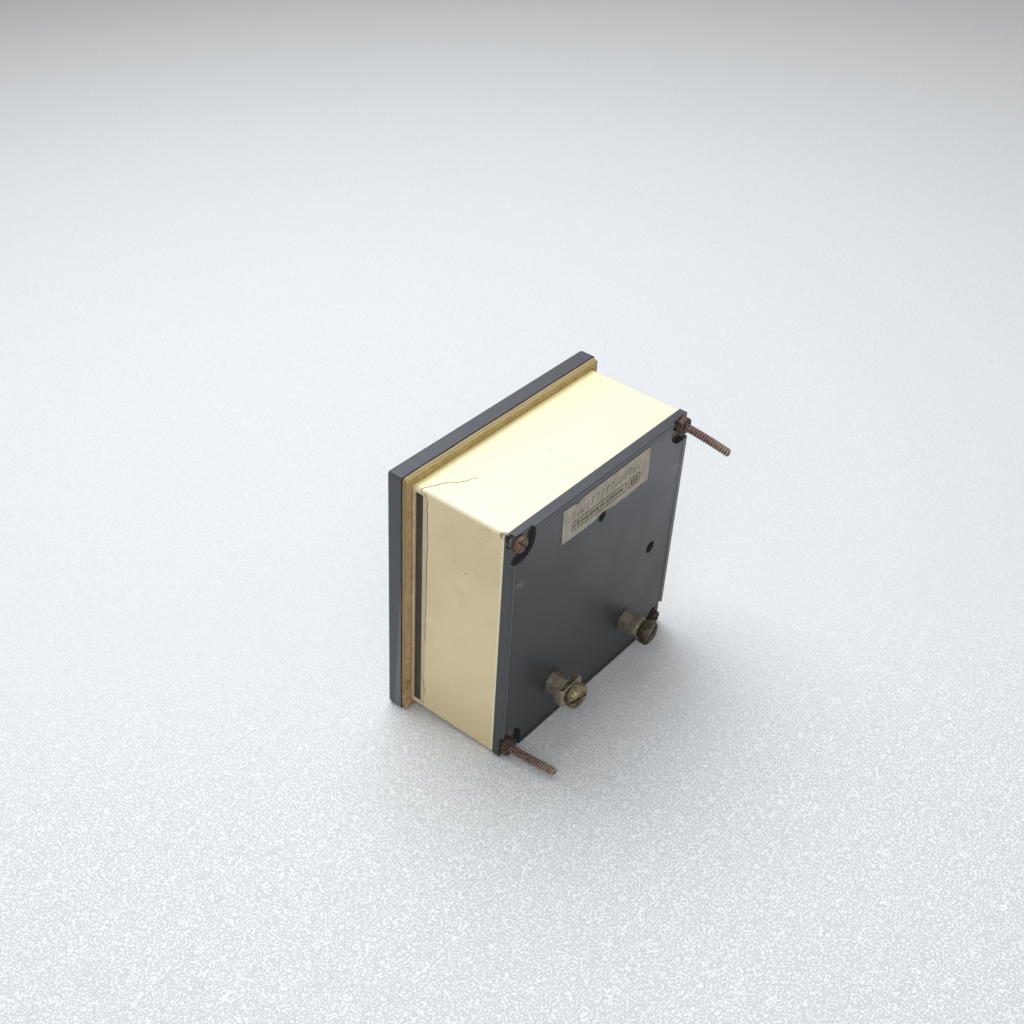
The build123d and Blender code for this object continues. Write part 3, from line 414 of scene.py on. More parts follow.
def ochre_foam():
    """Aged sealing sheet: tan where it is clean on top, olive-ochre at the side, and brown with
    settled dirt on the face behind. Matt, with a skin of small open cells."""
    material, tree, where = new_material("aged_sealing_foam", Roughness=0.8, IOR=1.45)
    height = from_face(tree, where)[2]
    way = facing(tree)
    streaks = patches(tree, where, 3.0, 0.35, 0.65, stretch=(0.25, 3.0, 0.25))
    soil = patches(tree, where, 2.4, 0.38, 0.64, detail=5, shift=0.6)
    upper = coat(tree, "#9d8d67", ("#ac9c76", streaks))
    dirty = coat(tree, "#c2a67b", ("#b49369", soil))
    golden = coat(tree, "#c0aa72", ("#b0995f", soil))
    colour = coat(
        tree, "#8c794e",
        ("#9b885d", streaks),
        (upper, (way[2], 0.4, 0.9)),
        (coat(tree, dirty, (golden, (height, mm(43.5), mm(45)))), (way[1], 0.3, 0.8)),
        ("#7a5238", (height, mm(-30), mm(-36)), soil, 0.5),
    )
    return dress(material, colour, (patches(tree, where, 0.45, 0.3, 0.7, detail=3), 0.06))


def rusted_steel(name, crust, rust, bright, roughness=0.72, metallic=0.35, tip=None):
    """Zinc-plated steel gone to rust: brown crust in lumps, dusty red-brown and dull metal on the
    crests. With a tip colour the metal is bare towards the rod's end."""
    material, tree, where = new_material(name, Roughness=roughness, Metallic=metallic)
    lumps = patches(tree, where, 1.1, 0.35, 0.62, detail=6)
    grains = patches(tree, where, 0.35, 0.45, 0.68, detail=3, shift=0.5)
    colour = coat(tree, crust, (rust, lumps), (bright, grains, 0.55))
    if tip:
        # old dirt and painted shade fill the thread, and its crests are rubbed bright and carry a painted
        # highlight
        depth = from_face(tree, where)[1]
        groove = add_node(tree, "Attribute", attribute_name="groove").outputs["Fac"]
        colour = coat(
            tree, colour,
            (bright, (groove, 0.5, 0.0, 0.0, 0.6)),
            (tip, (depth, mm(50), mm(59)), (lumps, 0.0, 1.0, 0.55, 1.0), 0.75),
            ("#1f1714", (groove, 0.35, 0.9, 0.0, 0.6)),
        )
    return dress(material, colour, (lumps, 0.08), (grains, 0.05))


PILLAR_REAR = 48.4


def tarnished_brass(name, metal, tarnish, deep, rust, stained=0.6, lower=0.0, seat=0.0):
    """Thin nickel over brass, tarnished: dull grey-gold metal with olive stains, pinkish rust bloom
    and fine dark pits that break its gloss. Lower is the share of rust on the lower half, seat that of
    the painted shade at the pillar's end, in the gap under the clamp."""
    material, tree, where = new_material(name, Roughness=0.42, Metallic=0.65)
    stains = patches(tree, where, 2.6, 0.38, 0.64, detail=5)
    bloom = patches(tree, where, 3.4, 0.48, 0.66, detail=4, shift=1.3)
    pits = patches(tree, where, 0.42, 0.52, 0.66, detail=3, shift=0.8)
    colour = coat(tree, metal, (tarnish, stains, stained), (rust, bloom, 0.5))
    if lower:
        height = from_face(tree, where)[2]
        below = share(tree, (height, mm(TERMINAL_Z + 3.0), mm(TERMINAL_Z + 0.4)))
        worn = patches(tree, where, 0.6, 0.42, 0.6, detail=3, shift=2.1)
        colour = coat(tree, colour, (rust, below, (bloom, 0.0, 1.0, 0.6, 1.0), lower), (deep, worn, 0.7))
    if seat:
        # painted shade in the gap between the pillar's end and the clamp
        seat_shadow = within(tree, from_face(tree, where)[1], PILLAR_REAR - 0.6, PILLAR_REAR + 0.2, 0.2)
        colour = coat(tree, colour, ("#2a2620", seat_shadow, seat))
    colour = coat(tree, colour, (deep, pits, 0.65))
    return dress(material, colour, (pits, 0.06), gloss=(most(tree, stains, pits), 0.0, 1.0, 0.32, 0.6))


def aged_paper():
    """Beige paper sticker: browned and fibrous, with soiled blotches."""
    material, tree, where = new_material("aged_label_paper", Roughness=0.75, IOR=1.45)
    blotches = patches(tree, where, 5, 0.38, 0.65)
    fibres = patches(tree, where, 0.5, 0.35, 0.7, detail=3, stretch=(0.4, 1, 1.6))
    colour = coat(tree, "#b7afa0", ("#a29a8b", blotches), ("#8f866f", fibres, 0.25))
    return dress(material, colour, (fibres, 0.02))


def faded_ink(name, ink, worn):
    """Printing ink, thin and faded: broken where the print has rubbed off."""
    material, tree, where = new_material(name, Roughness=0.7)
    return dress(material, coat(tree, ink, (worn, patches(tree, where, 1.2, 0.4, 0.62))))


def dark_moulding():
    """Black-brown moulded strip and mask, IOR 1.5: matt, with lengthwise rubs from sliding."""
    material, tree, where = new_material("moulded_brown_black", Roughness=0.5, IOR=1.5)
    rubs = patches(tree, where, 1.0, 0.45, 0.7, stretch=(1, 1.6, 0.08), shift=0.3)
    colour = coat(tree, "#2f2c29", ("#3c3834", patches(tree, where, 14, 0.35, 0.7)), ("#57524b", rubs, 0.5))
    return dress(material, colour, (rubs, 0.03))


def plain_finish(name, body, shade, size, depth, **sockets):
    """A clean surface inside the case: two near shades in clouds and a fine grain of a size and depth."""
    material, tree, where = new_material(name, **sockets)
    colour = coat(tree, body, (shade, patches(tree, where, size * 12, 0.35, 0.65)))
    return dress(material, colour, (patches(tree, where, size, 0.3, 0.7, detail=2), depth))


def wound_copper():
    """Enamelled copper wire: fine turns side by side, drawn at 0.4 mm so that they show."""
    material, tree, where = new_material("enamelled_copper_wire", Roughness=0.3, Metallic=0.9)
    turns = add_node(
        tree, "TexWave", {"Vector": where, "Scale": per_mm(0.4) / 20, "Distortion": 0.6},
        wave_type="BANDS", bands_direction="Y",
    ).outputs[1]
    return dress(material, coat(tree, "#6b2d12", ("#b5602f", turns)), (turns, 0.1))


def clear_acrylic():
    """Cast acrylic pane, IOR 1.49: clear, with faint rubs that only dull its gloss."""
    material, tree, where = new_material(
        "clear_acrylic_pane", Roughness=0.03, IOR=1.49, Transmission_Weight=1.0, Base_Color=linear("#f2f5f2")
    )
    rubs = patches(tree, where, 4, 0.55, 0.75, stretch=(1, 1, 4))
    return dress(material, None, gloss=(rubs, 0.0, 1.0, 0.03, 0.09))


FINISH = {
    "frame_plastic": frame_plastic(),
    "cover_plastic": cover_plastic(),
    "case_plastic": aged_cream(),
    "gasket_foam": ochre_foam(),
    "dark_plastic": dark_moulding(),
    "clear_pane": clear_acrylic(),
    "zinc_rusty": rusted_steel("rusted_zinc_steel", "#362a25", "#5b443a", "#968072"),
    "nickel_brass": tarnished_brass(
        "tarnished_nickel_brass", "#aaa491", "#7f7862", "#4e483b", "#8b7768", seat=0.85
    ),
    "label_paper": aged_paper(),
    "copper_wire": wound_copper(),
}
# slot, name, two shades, grain and its depth in millimetres, roughness and metallic
for slot_name, *recipe, roughness, metallic in (
    # turned steel, an even satin grey
    ("steel", "machined_steel", "#9a9a9a", "#7f7f80", 0.3, 0.004, 0.3, 1.0),
    # sheet under white lacquer, clean and smooth
    ("scale_sheet", "white_lacquered_sheet", "#f8f6ec", "#f1eee1", 0.5, 0.004, 0.4, 0.0),
    # moulded phenolic, brown-red and satin
    ("bobbin_plastic", "moulded_bobbin", "#6d2c20", "#5b241b", 0.4, 0.01, 0.5, 0.0),
    # metal under black lacquer, smooth and deep
    ("black_metal", "black_lacquer", "#161616", "#1f1f1f", 0.3, 0.004, 0.35, 0.0),
    # rolled aluminium, pale and a little brushed
    ("thin_aluminium", "rolled_aluminium", "#c4c5c8", "#b2b3b6", 0.4, 0.004, 0.38, 1.0),
    # sintered magnet, dark and dry with a coarse grain
    ("magnet", "sintered_magnet", "#2c2c2e", "#3a3a3c", 0.2, 0.02, 0.6, 0.3),
    # rolled bronze strip, warm and bright
    ("spring_bronze", "rolled_bronze", "#b08a4e", "#9a7640", 0.2, 0.002, 0.3, 1.0),
):
    FINISH[slot_name] = plain_finish(*recipe, Roughness=roughness, Metallic=metallic)
STUD_METAL = rusted_steel("rusted_stud", "#4d3833", "#8f6a66", "#cfb2a8", tip="#bdae8b")
WORN_RUST = rusted_steel("rubbed_rust", "#4e372c", "#6f5444", "#ad927d", 0.6, 0.4)
DARK_RUST = rusted_steel("dark_rust", "#2b221c", "#46392d", "#6b5a48", 0.7, 0.3)
HEAD_METAL = tarnished_brass("worn_brass_head", "#d8cb99", "#857753", "#3a2f21", "#553e30", 0.65, 1.0)
DULL_HEAD_METAL = tarnished_brass("dull_brass_head", "#776c55", "#4c4435", "#2b251c", "#4d392d", 0.8, 0.7)
CLAMP_METAL = tarnished_brass("tarnished_clamp", "#b5ae99", "#89816a", "#544d3f", "#93806f")
PINKISH_METAL = tarnished_brass("rust_stained_clamp", "#9b917f", "#7a705e", "#4b4338", "#8f7566", 0.7)
DARK_INK = faded_ink("faded_dark_ink", "#40302a", "#6e5d4e")
FAINT_INK = faded_ink("faint_stamped_ink", "#64564a", "#83776a")
SCALE_INK = faded_ink("black_scale_ink", "#141414", "#1c1c1c")
CRACK_DIRT = faded_ink("dirt_in_crack", "#453c29", "#776c4d")


def paint(piece, material):
    """Gives a piece one material."""
    piece.data.materials.clear()
    piece.data.materials.append(material)


# each CAD node gets the real finish of its material slot in the record
for row in frame["record"]["subparts"]:
    for slot in frame["nodes"][row["node"]].material_slots:
        slot.material = FINISH[row["material_slot"]]

# Mesh tools

SHARP_ANGLE = 35  # edges bent by more than this many degrees stay sharp
OVERRUN = 1.0
JITTER_STEPS = 4


def new_mesh(name, mesh_maker):
    """A mesh from a function that fills a bmesh."""
    made = bmesh.new()
    mesh_maker(made)
    bmesh.ops.remove_doubles(made, verts=made.verts, dist=1e-7)
    bmesh.ops.recalc_face_normals(made, faces=made.faces)
    mesh = bpy.data.meshes.new(name)
    made.to_mesh(mesh)
    made.free()
    return mesh


def new_piece(name, body, material, mesh_maker, smooth_angle=SHARP_ANGLE):
    """A piece made by a function that fills a bmesh, riding on a body and painted with a material."""
    mesh = new_mesh(name, mesh_maker)
    mesh.shade_smooth()
    mesh.set_sharp_from_angle(angle=math.radians(smooth_angle))
    piece = new_object(name, mesh)
    paint(piece, material)
    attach(piece, body)
    return piece


def final_mesh(item):
    """An object's mesh with its modifiers, or its curve's mesh."""
    bpy.context.view_layer.update()
    return bpy.data.meshes.new_from_object(item.evaluated_get(bpy.context.evaluated_depsgraph_get()))


def join_rings(made, rings, closed=False):
    """Skins rings of points with faces. A closed set of rings goes round, an open one gets end caps.
    Returns the rings of vertices."""
    loops = [[made.verts.new(p) for p in ring] for ring in rings]
    count = len(loops[0])
    pairs = list(zip(loops, loops[1:])) + ([(loops[-1], loops[0])] if closed else [])
    for first, second in pairs:
        for i in range(count):
            j = (i + 1) % count
            made.faces.new((first[i], first[j], second[j], second[i]))
    if not closed:
        made.faces.new(loops[0][::-1])
        made.faces.new(loops[-1])
    return loops


def lathe(made, x, z, profile_at, count, start=0.0, sweep=360.0):
    """Turns a closed profile of (radius, depth) about a depth axis. profile_at gives it for each angle."""
    full = sweep >= 360
    rings = []
    for i in range(count if full else count + 1):
        angle = start + sweep * i / count
        ring = []
        for radius, depth in profile_at(angle):
            across, up = turned(radius, 0, angle)
            ring.append(place(x + across, depth, z + up))
        rings.append(ring)
    join_rings(made, rings, closed=full)


def jitter(points, amount, seed):
    """More points between the given ones, moved a little, as a crack runs."""
    draw = random.Random(seed)
    result = []
    for (a, b), (c, d) in zip(points, points[1:]):
        for i in range(JITTER_STEPS):
            along = i / JITTER_STEPS
            result.append((
                a + (c - a) * along + draw.uniform(-amount, amount),
                b + (d - b) * along + draw.uniform(-amount, amount),
            ))
    return result + [points[-1]]


def slab(made, outline, front, rear):
    """A flat plate with an outline of (x, z) places between two depths."""
    join_rings(made, [[place(x, depth, z) for x, z in outline] for depth in (front, rear)])


def cut_slot(piece, x, z, rear, angle, width, depth, length):
    """Mills a straight slot across a screw head."""
    corners = rectangle(x, z, length, width, angle)
    cutter = new_object(
        "slot_cutter", new_mesh("slot_cutter", lambda made: slab(made, corners, rear - depth, rear + OVERRUN))
    )
    tool = piece.modifiers.new("slot", "BOOLEAN")
    tool.object = cutter
    tool.operation = "DIFFERENCE"
    tool.solver = "EXACT"
    tool.use_self = True
    cut = final_mesh(piece)
    piece.modifiers.clear()
    piece.data = cut
    bpy.data.objects.remove(cutter)
    piece.data.set_sharp_from_angle(angle=math.radians(SHARP_ANGLE))


# Studs, nuts and cover screws

THREAD_PITCH = 0.92  # a real 0.5 mm pitch is too fine to show, so it is drawn as coarse as it looks
THREAD_DEPTH = 0.38
ROOT_FLAT = 1.35  # more than 1 gives the thread's root a flat
LEAN_CURVE = 1.5  # more than 1 bends a leaning rod more towards its tip
TIP_SHARE = 0.6  # a rod's end, as a share of its radius
TIP_TAPER = 0.6
# a stud's x, z and the lean of its tip along each
STUDS = ((-FIXING - 0.3, FIXING - 0.3, 1.9, -1.1), (FIXING + 0.2, -FIXING - 0.2, -0.9, 1.1))
STUD_START = 38.0
STUD_TIP = 59.65
STUD_RADIUS = 1.5
STUD_NUTS = ((-FIXING, FIXING, 12), (FIXING, -FIXING, 0))  # x, z and turn in degrees
NUT_FRONT = PARAPET_DEPTH
NUT_REAR = NUT_FRONT + 2.4
NUT_FLATS = 5.5
NUT_BORE = 1.38
NUT_BREAK = 0.2
SHANK_START = 30.0
COVER_SHANK_RADIUS = 1.2
# name, x, z, head radius and height, the slot's angle, metal
COVER_SCREWS = (
    ("cover_screw_top", FIXING, FIXING, 2.65, 1.75, 50, WORN_RUST),
    ("cover_screw_bottom", -FIXING, -FIXING, 2.5, 1.7, 20, DARK_RUST),
)
COVER_SCREW_SLOT = (0.65, 0.7, 6)  # width, depth and length


def threaded_rod(made, x, z, start, end, radius, pitch, depth, lean_x=0, lean_z=0, around=32, per_turn=10):
    """A rod along the depth with a helical thread and a blunt tip, leaning off its axis towards the
    tip. Each vertex keeps how deep it lies in the thread as "groove", for the material."""
    length = end - start
    steps = int(length / pitch * per_turn)
    rings, grooves = [], []
    for k in range(steps + 1):
        along = length * k / steps
        lean = (along / length) ** LEAN_CURVE
        tip = min(1.0, (length - along) / TIP_TAPER + TIP_SHARE)
        ring = []
        for i in range(around):
            turn = (along / pitch - i / around) % 1
            groove = min(1.0, (1 - abs(turn - 0.5) * 2) * ROOT_FLAT)
            a, b = turned((radius - depth * groove) * tip, 0, 360 * i / around)
            ring.append(place(x + lean_x * lean + a, start + along, z + lean_z * lean + b))
            grooves.append(groove)
        rings.append(ring)
    layer = made.verts.layers.float.get("groove") or made.verts.layers.float.new("groove")
    loops = join_rings(made, rings)
    for vertex, groove in zip((v for loop in loops for v in loop), grooves):
        vertex[layer] = groove


def hex_nut(made, x, z, turn):
    """A hexagon nut with a bore and a crown chamfer of 30 degrees on its rear."""
    crown = NUT_FLATS / 2 * 0.95
    slope = math.tan(math.radians(30))

    def profile(angle):
        reach = NUT_FLATS / 2 / math.cos(math.radians((angle - turn + 30) % 60 - 30))
        return [
            (NUT_BORE, NUT_FRONT), (NUT_BORE, NUT_REAR - NUT_BREAK), (NUT_BORE + NUT_BREAK, NUT_REAR),
            (crown, NUT_REAR), (reach, NUT_REAR - (reach - crown) * slope),
            (reach, NUT_FRONT + NUT_BREAK / 2), (reach * 0.97, NUT_FRONT),
        ]

    lathe(made, x, z, profile, 72)


def make_studs(made):
    """Two threaded studs, bent a little by use."""
    for x, z, lean_x, lean_z in STUDS:
        threaded_rod(
            made, x, z, STUD_START, STUD_TIP, STUD_RADIUS, THREAD_PITCH, THREAD_DEPTH, lean_x, lean_z
        )


def make_stud_nuts(made):
    """The hexagon nuts on the studs."""
    for x, z, turn in STUD_NUTS:
        hex_nut(made, x, z, turn)


studs = new_piece("mounting_studs_threaded", METER, STUD_METAL, make_studs, 30)
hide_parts("mounting_studs")
stud_nuts = new_piece("stud_nuts_crowned", METER, FINISH["zinc_rusty"], make_stud_nuts)
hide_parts("stud_nuts")


def pan_head(seat, radius, height, edge):
    """The closed profile of a screw head with a rounded rear edge and a slight crown."""
    rear = seat + height
    lower_edge = 0.12
    points = [(0.0, seat), (radius - lower_edge, seat), (radius, seat + lower_edge), (radius, rear - edge)]
    for i in range(1, 7):
        across, up = turned(edge, 0, 15 * i)
        points.append((radius - edge + across, rear - edge + up))
    points.append((0.0, rear + 0.02 * radius))
    return points


for name, x, z, radius, height, angle, metal in COVER_SCREWS:
    head = pan_head(PARAPET_DEPTH, radius, height, 0.6)
    shank = [(0.0, SHANK_START), (COVER_SHANK_RADIUS, SHANK_START), (COVER_SHANK_RADIUS, PARAPET_DEPTH)]
    screw = new_piece(
        name, METER, metal,
        lambda made: lathe(made, x, z, lambda a: shank + head[1:], 40),
    )
    cut_slot(screw, x, z, PARAPET_DEPTH + height, angle, *COVER_SCREW_SLOT)
    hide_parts("cover_screws")

# Terminals

CLAMP_REAR = 49.1
CLAMP_HALF = 4.5
CLAMP_HALF_WIDTH = 3.35
CLAMP_THICKNESS = 0.7
CLAMP_BEND = 1.1
CLAMP_LIP = 3.55  # how far the lips reach forward
CLAMP_DROP = 0.3  # the clamp hangs this far below its screw's axis
CLAMP_EDGE = 0.15
WASHER_BORE = 2.15
WASHER_RADIUS = 3.45
WASHER_EDGE = 0.12
WASHER_RISE = 0.12  # how far the ends stand apart along the screw
WASHER_SLIT = 14  # degrees
HEAD_SEAT = 50.0
HEAD_REAR = 52.8
HEAD_RADIUS = 4.4
HEAD_EDGE = 1.05
HEAD_CROWN = 0.08
SHANK_RADIUS = 1.95
SHANK_LENGTH = 7.4
HEAD_SLOT = (1.0, 1.1, 9)  # width, depth and length
# side, x, the clamp's turn, the slot's angle, the head's and the clamp's metal, the angle of the
# washer's slit, and how much longer one end of the clamp is
TERMINALS = (
    ("left", -TERMINAL_X, 56.0, 145.0, DULL_HEAD_METAL, PINKISH_METAL, 70, 0.2),
    ("right", TERMINAL_X, -3.0, 8.0, HEAD_METAL, CLAMP_METAL, 250, 1.3),
)


def make_clamp(made, x, turn, longer):
    """A saddle clamp pressed from strip: a plate with a rounded lip at each end that reaches past the
    pillar. Its lips are a little crooked, and one end may be longer."""
    path = [(-CLAMP_HALF, -CLAMP_LIP), (-CLAMP_HALF, -CLAMP_LIP * 0.6)]
    for i in range(8):
        a, b = turned(CLAMP_BEND, 0, 180 - 90 * i / 7)
        path.append((-CLAMP_HALF + CLAMP_BEND + a, -CLAMP_BEND + b))
    path = [(u - longer, d) for u, d in path] + [(-u, d) for u, d in path[::-1]]
    last = len(path) - 1

    def on_clamp(u, v, d):
        across, up = turned(u, v, turn)
        return place(x + across, CLAMP_REAR + d, TERMINAL_Z - CLAMP_DROP + up)

    rings = []
    for i, (u, d) in enumerate(path):
        (before_u, before_d), (after_u, after_d) = path[max(0, i - 1)], path[min(last, i + 1)]
        run_u, run_d = after_u - before_u, after_d - before_d
        length = math.hypot(run_u, run_d)
        outer_u = u + (0.25 if u < 0 else -0.1) * max(0.0, -d - CLAMP_BEND) / CLAMP_LIP
        inner_u = outer_u + run_d / length * CLAMP_THICKNESS
        inner_d = d - run_u / length * CLAMP_THICKNESS
        reach = CLAMP_HALF_WIDTH - (0.5 if i in (0, last) else 0.0)
        flat = reach - CLAMP_EDGE
        edge_u, edge_d = outer_u * 0.8 + inner_u * 0.2, d * 0.8 + inner_d * 0.2
        rings.append([
            on_clamp(outer_u, -flat, d), on_clamp(outer_u, flat, d), on_clamp(edge_u, reach, edge_d),
            on_clamp(inner_u, reach, inner_d), on_clamp(inner_u, -reach, inner_d),
            on_clamp(edge_u, -reach, edge_d),
        ])
    join_rings(made, rings)


def make_lockwasher(made, x, slit):
    """A split spring washer of square wire, its ends a little apart along the screw."""
    def profile(angle):
        lift = WASHER_RISE * (((angle - slit) % 360) / 360 - 0.5)
        front, rear = CLAMP_REAR + 0.09 + lift, HEAD_SEAT - 0.06 + lift * 0.4
        flat = WASHER_RADIUS - 0.15
        return [
            (WASHER_BORE, front), (WASHER_BORE, rear), (flat, rear), (WASHER_RADIUS, rear - WASHER_EDGE),
            (WASHER_RADIUS, front + WASHER_EDGE), (flat, front),
        ]

    lathe(made, x, TERMINAL_Z, profile, 44, slit + WASHER_SLIT / 2, 360 - WASHER_SLIT)


def make_terminal_screw(made, x):
    """A pan-head screw with a thread on its shank."""
    profile = pan_head(HEAD_SEAT, HEAD_RADIUS, HEAD_REAR - HEAD_SEAT - HEAD_CROWN, HEAD_EDGE)
    lathe(made, x, TERMINAL_Z, lambda angle: profile, 60)
    threaded_rod(
        made, x, TERMINAL_Z, HEAD_SEAT - SHANK_LENGTH, HEAD_SEAT + 0.1, SHANK_RADIUS, 0.7, 0.2,
        around=24, per_turn=6,
    )


for side, x, turn, slot_angle, head_metal, clamp_metal, slit, longer in TERMINALS:
    clamp = new_piece(
        "terminal_clamp_pressed_" + side, side + "_clamp", clamp_metal,
        lambda made: make_clamp(made, x, turn, longer), 50,
    )
    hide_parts("terminal_clamp_" + side)
    washer = new_piece(
        "terminal_lockwasher_split_" + side, side + "_clamp", DARK_RUST,
        lambda made: make_lockwasher(made, x, slit),
    )
    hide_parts("terminal_lockwasher_" + side)
    screw = new_piece(
        "terminal_screw_slotted_" + side, side + "_screw", head_metal,
        lambda made: make_terminal_screw(made, x),
    )
    cut_slot(screw, x, TERMINAL_Z, HEAD_REAR, slot_angle, *HEAD_SLOT)
    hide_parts("terminal_screw_" + side)

# Gasket

GASKET_CORNER = 1.4
GASKET_HALF = 47.6
GASKET_WOBBLE = 0.08
GASKET_INSIDE = 45.2  # what lies further in, or nearer the panel than 1 mm, stays straight
# half width and depth round the cross-section
GASKET_PROFILE = (
    (44.95, 0.02), (47.5, 0.02), (GASKET_HALF, 0.15), (47.55, 0.95), (47.35, 1.03), (47.35, 1.15),
    (47.5, 1.23), (47.45, 1.72), (47.3, 1.87), (46.5, 1.9), (46.4, 1.78), (46.25, 1.9),
    (GASKET_INSIDE, 1.9), (44.95, 1.75),
)


def make_gasket(made):
    """A square frame with rounded corners and a wobbly edge."""
    per_side, per_corner = 44, 5
    draw = random.Random(5)
    route = []
    for quarter in range(4):
        out = Vector(turned(1, 0, 90 * quarter))
        side = Vector((-out.y, out.x))
        route += [(out, side, -1 + 2 * i / per_side, None) for i in range(per_side)]
        route += [(out, side, 1.0, 90 * i / per_corner) for i in range(per_corner)]
    waves = [(draw.uniform(0.2, 1.0), round(draw.uniform(3, 17)), draw.uniform(0, 6.3)) for _ in range(7)]
    rings = []
    for n, (out, side, along, bend) in enumerate(route):
        turn = n / len(route) * 2 * math.pi
        wave = GASKET_WOBBLE * sum(a * math.sin(f * turn + p) for a, f, p in waves) / 4
        ring = []
        for half, depth in GASKET_PROFILE:
            half += wave if half > GASKET_INSIDE else 0
            depth += wave * 0.6 if depth > 1.0 else 0
            radius = max(0.3, GASKET_CORNER - (GASKET_HALF - half))
            inner = half - radius
            if bend is None:
                at = out * half + side * (inner * along)
            else:
                a, b = turned(radius, 0, bend)
                at = out * (inner + a) + side * (inner + b)
            ring.append(place(at.x, depth, at.y))
        rings.append(ring)
    join_rings(made, rings, closed=True)


gasket = new_piece("panel_gasket_aged", METER, FINISH["gasket_foam"], make_gasket, 40)
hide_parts("panel_gasket")

# Label on the cover

LABEL_OUTLINE = (
    (21.6, 29.6), (21.9, 36.0), (22.1, 42.5), (16.7, 42.2), (15.4, 41.5), (14.6, 41.4), (13.9, 42.0),
    (11.8, 42.45), (3.0, 42.6), (-9.0, 42.8), (-22.5, 43.0), (-22.9, 42.7), (-23.1, 38.0),
)
LABEL_TORN_EDGE = (
    (-23.45, 29.95), (-21.8, 29.8), (-19.8, 30.2), (-18.4, 29.9), (-17.0, 30.1), (-15.6, 29.6), (-14.2, 29.7),
    (-12.6, 29.3), (-11.0, 29.4), (-8.4, 29.7), (-6.2, 29.4), (-4.1, 29.6), (-2.4, 29.95), (-0.8, 30.3),
    (0.8, 30.35), (2.2, 30.0), (3.6, 29.6), (5.4, 29.35), (7.2, 29.4), (9.5, 29.3), (15.0, 29.4),
)
PRINT_FRONT = FACE_DEPTH + 0.18
PRINT_REAR = FACE_DEPTH + 0.215
PRINT_LINE = 0.42
STAMP_SLOPE = 0.02


def make_label(made):
    """The sticker, its lower edge torn in small steps."""
    slab(made, [*LABEL_OUTLINE, *jitter(LABEL_TORN_EDGE, 0.14, 21)], FACE_DEPTH + 0.01, FACE_DEPTH + 0.2)


def bar(made, x, z, width, height, slant=0.0):
    """A small upright bar of print, slanted by a run over its height."""
    slab(made, rectangle(x, z, width, height, 0, slant), PRINT_FRONT, PRINT_REAR)


def make_frame_line(made, left, right, low, high):
    """A printed rectangle of thin lines, a little open at its corners."""
    opening = 0.3
    for x in (left, right):
        bar(made, x, (low + high) / 2, PRINT_LINE, high - low - opening)
    for z in (low, high):
        bar(made, (left + right) / 2, z, abs(right - left) - opening, PRINT_LINE)


def make_label_print(made):
    """Two framed fields filled with plain blocks, in place of the sticker's words."""
    draw = random.Random(11)
    make_frame_line(made, 17.0, -10.9, 32.1, 35.4)
    make_frame_line(made, -12.1, -18.3, 32.2, 35.7)
    x = 16.2
    while x > -9.8:
        width = draw.choice((0.5, 0.7, 0.9))
        height = draw.choice((1.35, 1.5, 1.65))
        bar(made, x - width / 2, 33.75, width, height, -0.1)
        x -= width + draw.choice((0.25, 0.25, 0.3, 0.8))
    for x in (-13.6, -15.1, -16.6):
        bar(made, x, 34.0, 1.0, 2.0, -0.3)


def make_stamped_marks(made):
    """A faint row of plain strokes, in place of the stamped number."""
    draw = random.Random(4)
    x = 17.0
    while x > -18.6:
        kind = draw.randrange(4)
        slant = draw.uniform(-0.7, -0.4)
        z = 38.5 - x * STAMP_SLOPE
        if kind == 0:
            bar(made, x, z, 0.42, 2.9, slant)
        elif kind == 1:
            bar(made, x - 0.55, z, 0.38, 2.9, slant)
            bar(made, x + 0.55, z, 0.38, 2.9, slant)
        elif kind == 2:
            bar(made, x, z, 0.4, 2.9, slant)
            bar(made, x + slant / 2 - 0.5, z + 1.1, 1.1, 0.38)
        else:
            bar(made, x - 0.5, z, 0.4, 2.7, slant)
            bar(made, x + 0.4, z - 0.6, 0.4, 1.4, slant / 2)
            bar(made, x, z - 1.2, 1.0, 0.36)
        x -= draw.uniform(2.1, 2.7)


label = new_piece("rear_label_torn", METER, FINISH["label_paper"], make_label)
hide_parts("rear_label")
new_piece("rear_label_print", METER, DARK_INK, make_label_print)
new_piece("rear_label_stamp", METER, FAINT_INK, make_stamped_marks)

# Marks on the case

CASE_CORNER = 1.0
CORNER_START = CASE_HALF - CASE_CORNER
CORNER_LENGTH = CASE_CORNER * math.pi / 2
RIBBON_SINK = 0.1
CRACK_LIFT = 0.012
MOULD_MARK = (38.9, 30.8, 4.6)  # x, depth and radius of the ring that a screw post has left in the top
MOULD_MARK_LIFT = 0.05


def over_edge(run, depth, height):
    """A place on the top, the rounded edge or the right side, by the length run from the top's middle."""
    turn = min(max(run - CORNER_START, 0.0), CORNER_LENGTH) / CASE_CORNER
    reach = CASE_CORNER + height
    x = min(run, CORNER_START) + reach * math.sin(turn)
    z = CORNER_START + reach * math.cos(turn) - max(run - CORNER_START - CORNER_LENGTH, 0.0)
    return place(x, depth, z)


def down_side(*marks):
    """Marks of (z, depth) on the right side as (run, depth), for over_edge."""
    return [(CORNER_START + CORNER_LENGTH + CORNER_START - z, depth) for z, depth in marks]


def ribbon(made, points, width, lift):
    """A thin raised line along points of (run, depth) on the case, wider in its middle."""
    rings = []
    last = len(points) - 1
    for i, (a, b) in enumerate(points):
        before, after = points[max(0, i - 1)], points[min(last, i + 1)]
        along = Vector((after[0] - before[0], after[1] - before[1])).normalized()
        taper = 0.45 + 0.55 * math.sin(math.pi * (0.12 + 0.76 * i / last))
        off = Vector((-along.y, along.x)) * width / 2 * taper
        rings.append([
            over_edge(a + off.x * side, b + off.y * side, height)
            for side, height in ((1, -RIBBON_SINK), (1, lift), (-1, lift), (-1, -RIBBON_SINK))
        ])
    join_rings(made, rings)


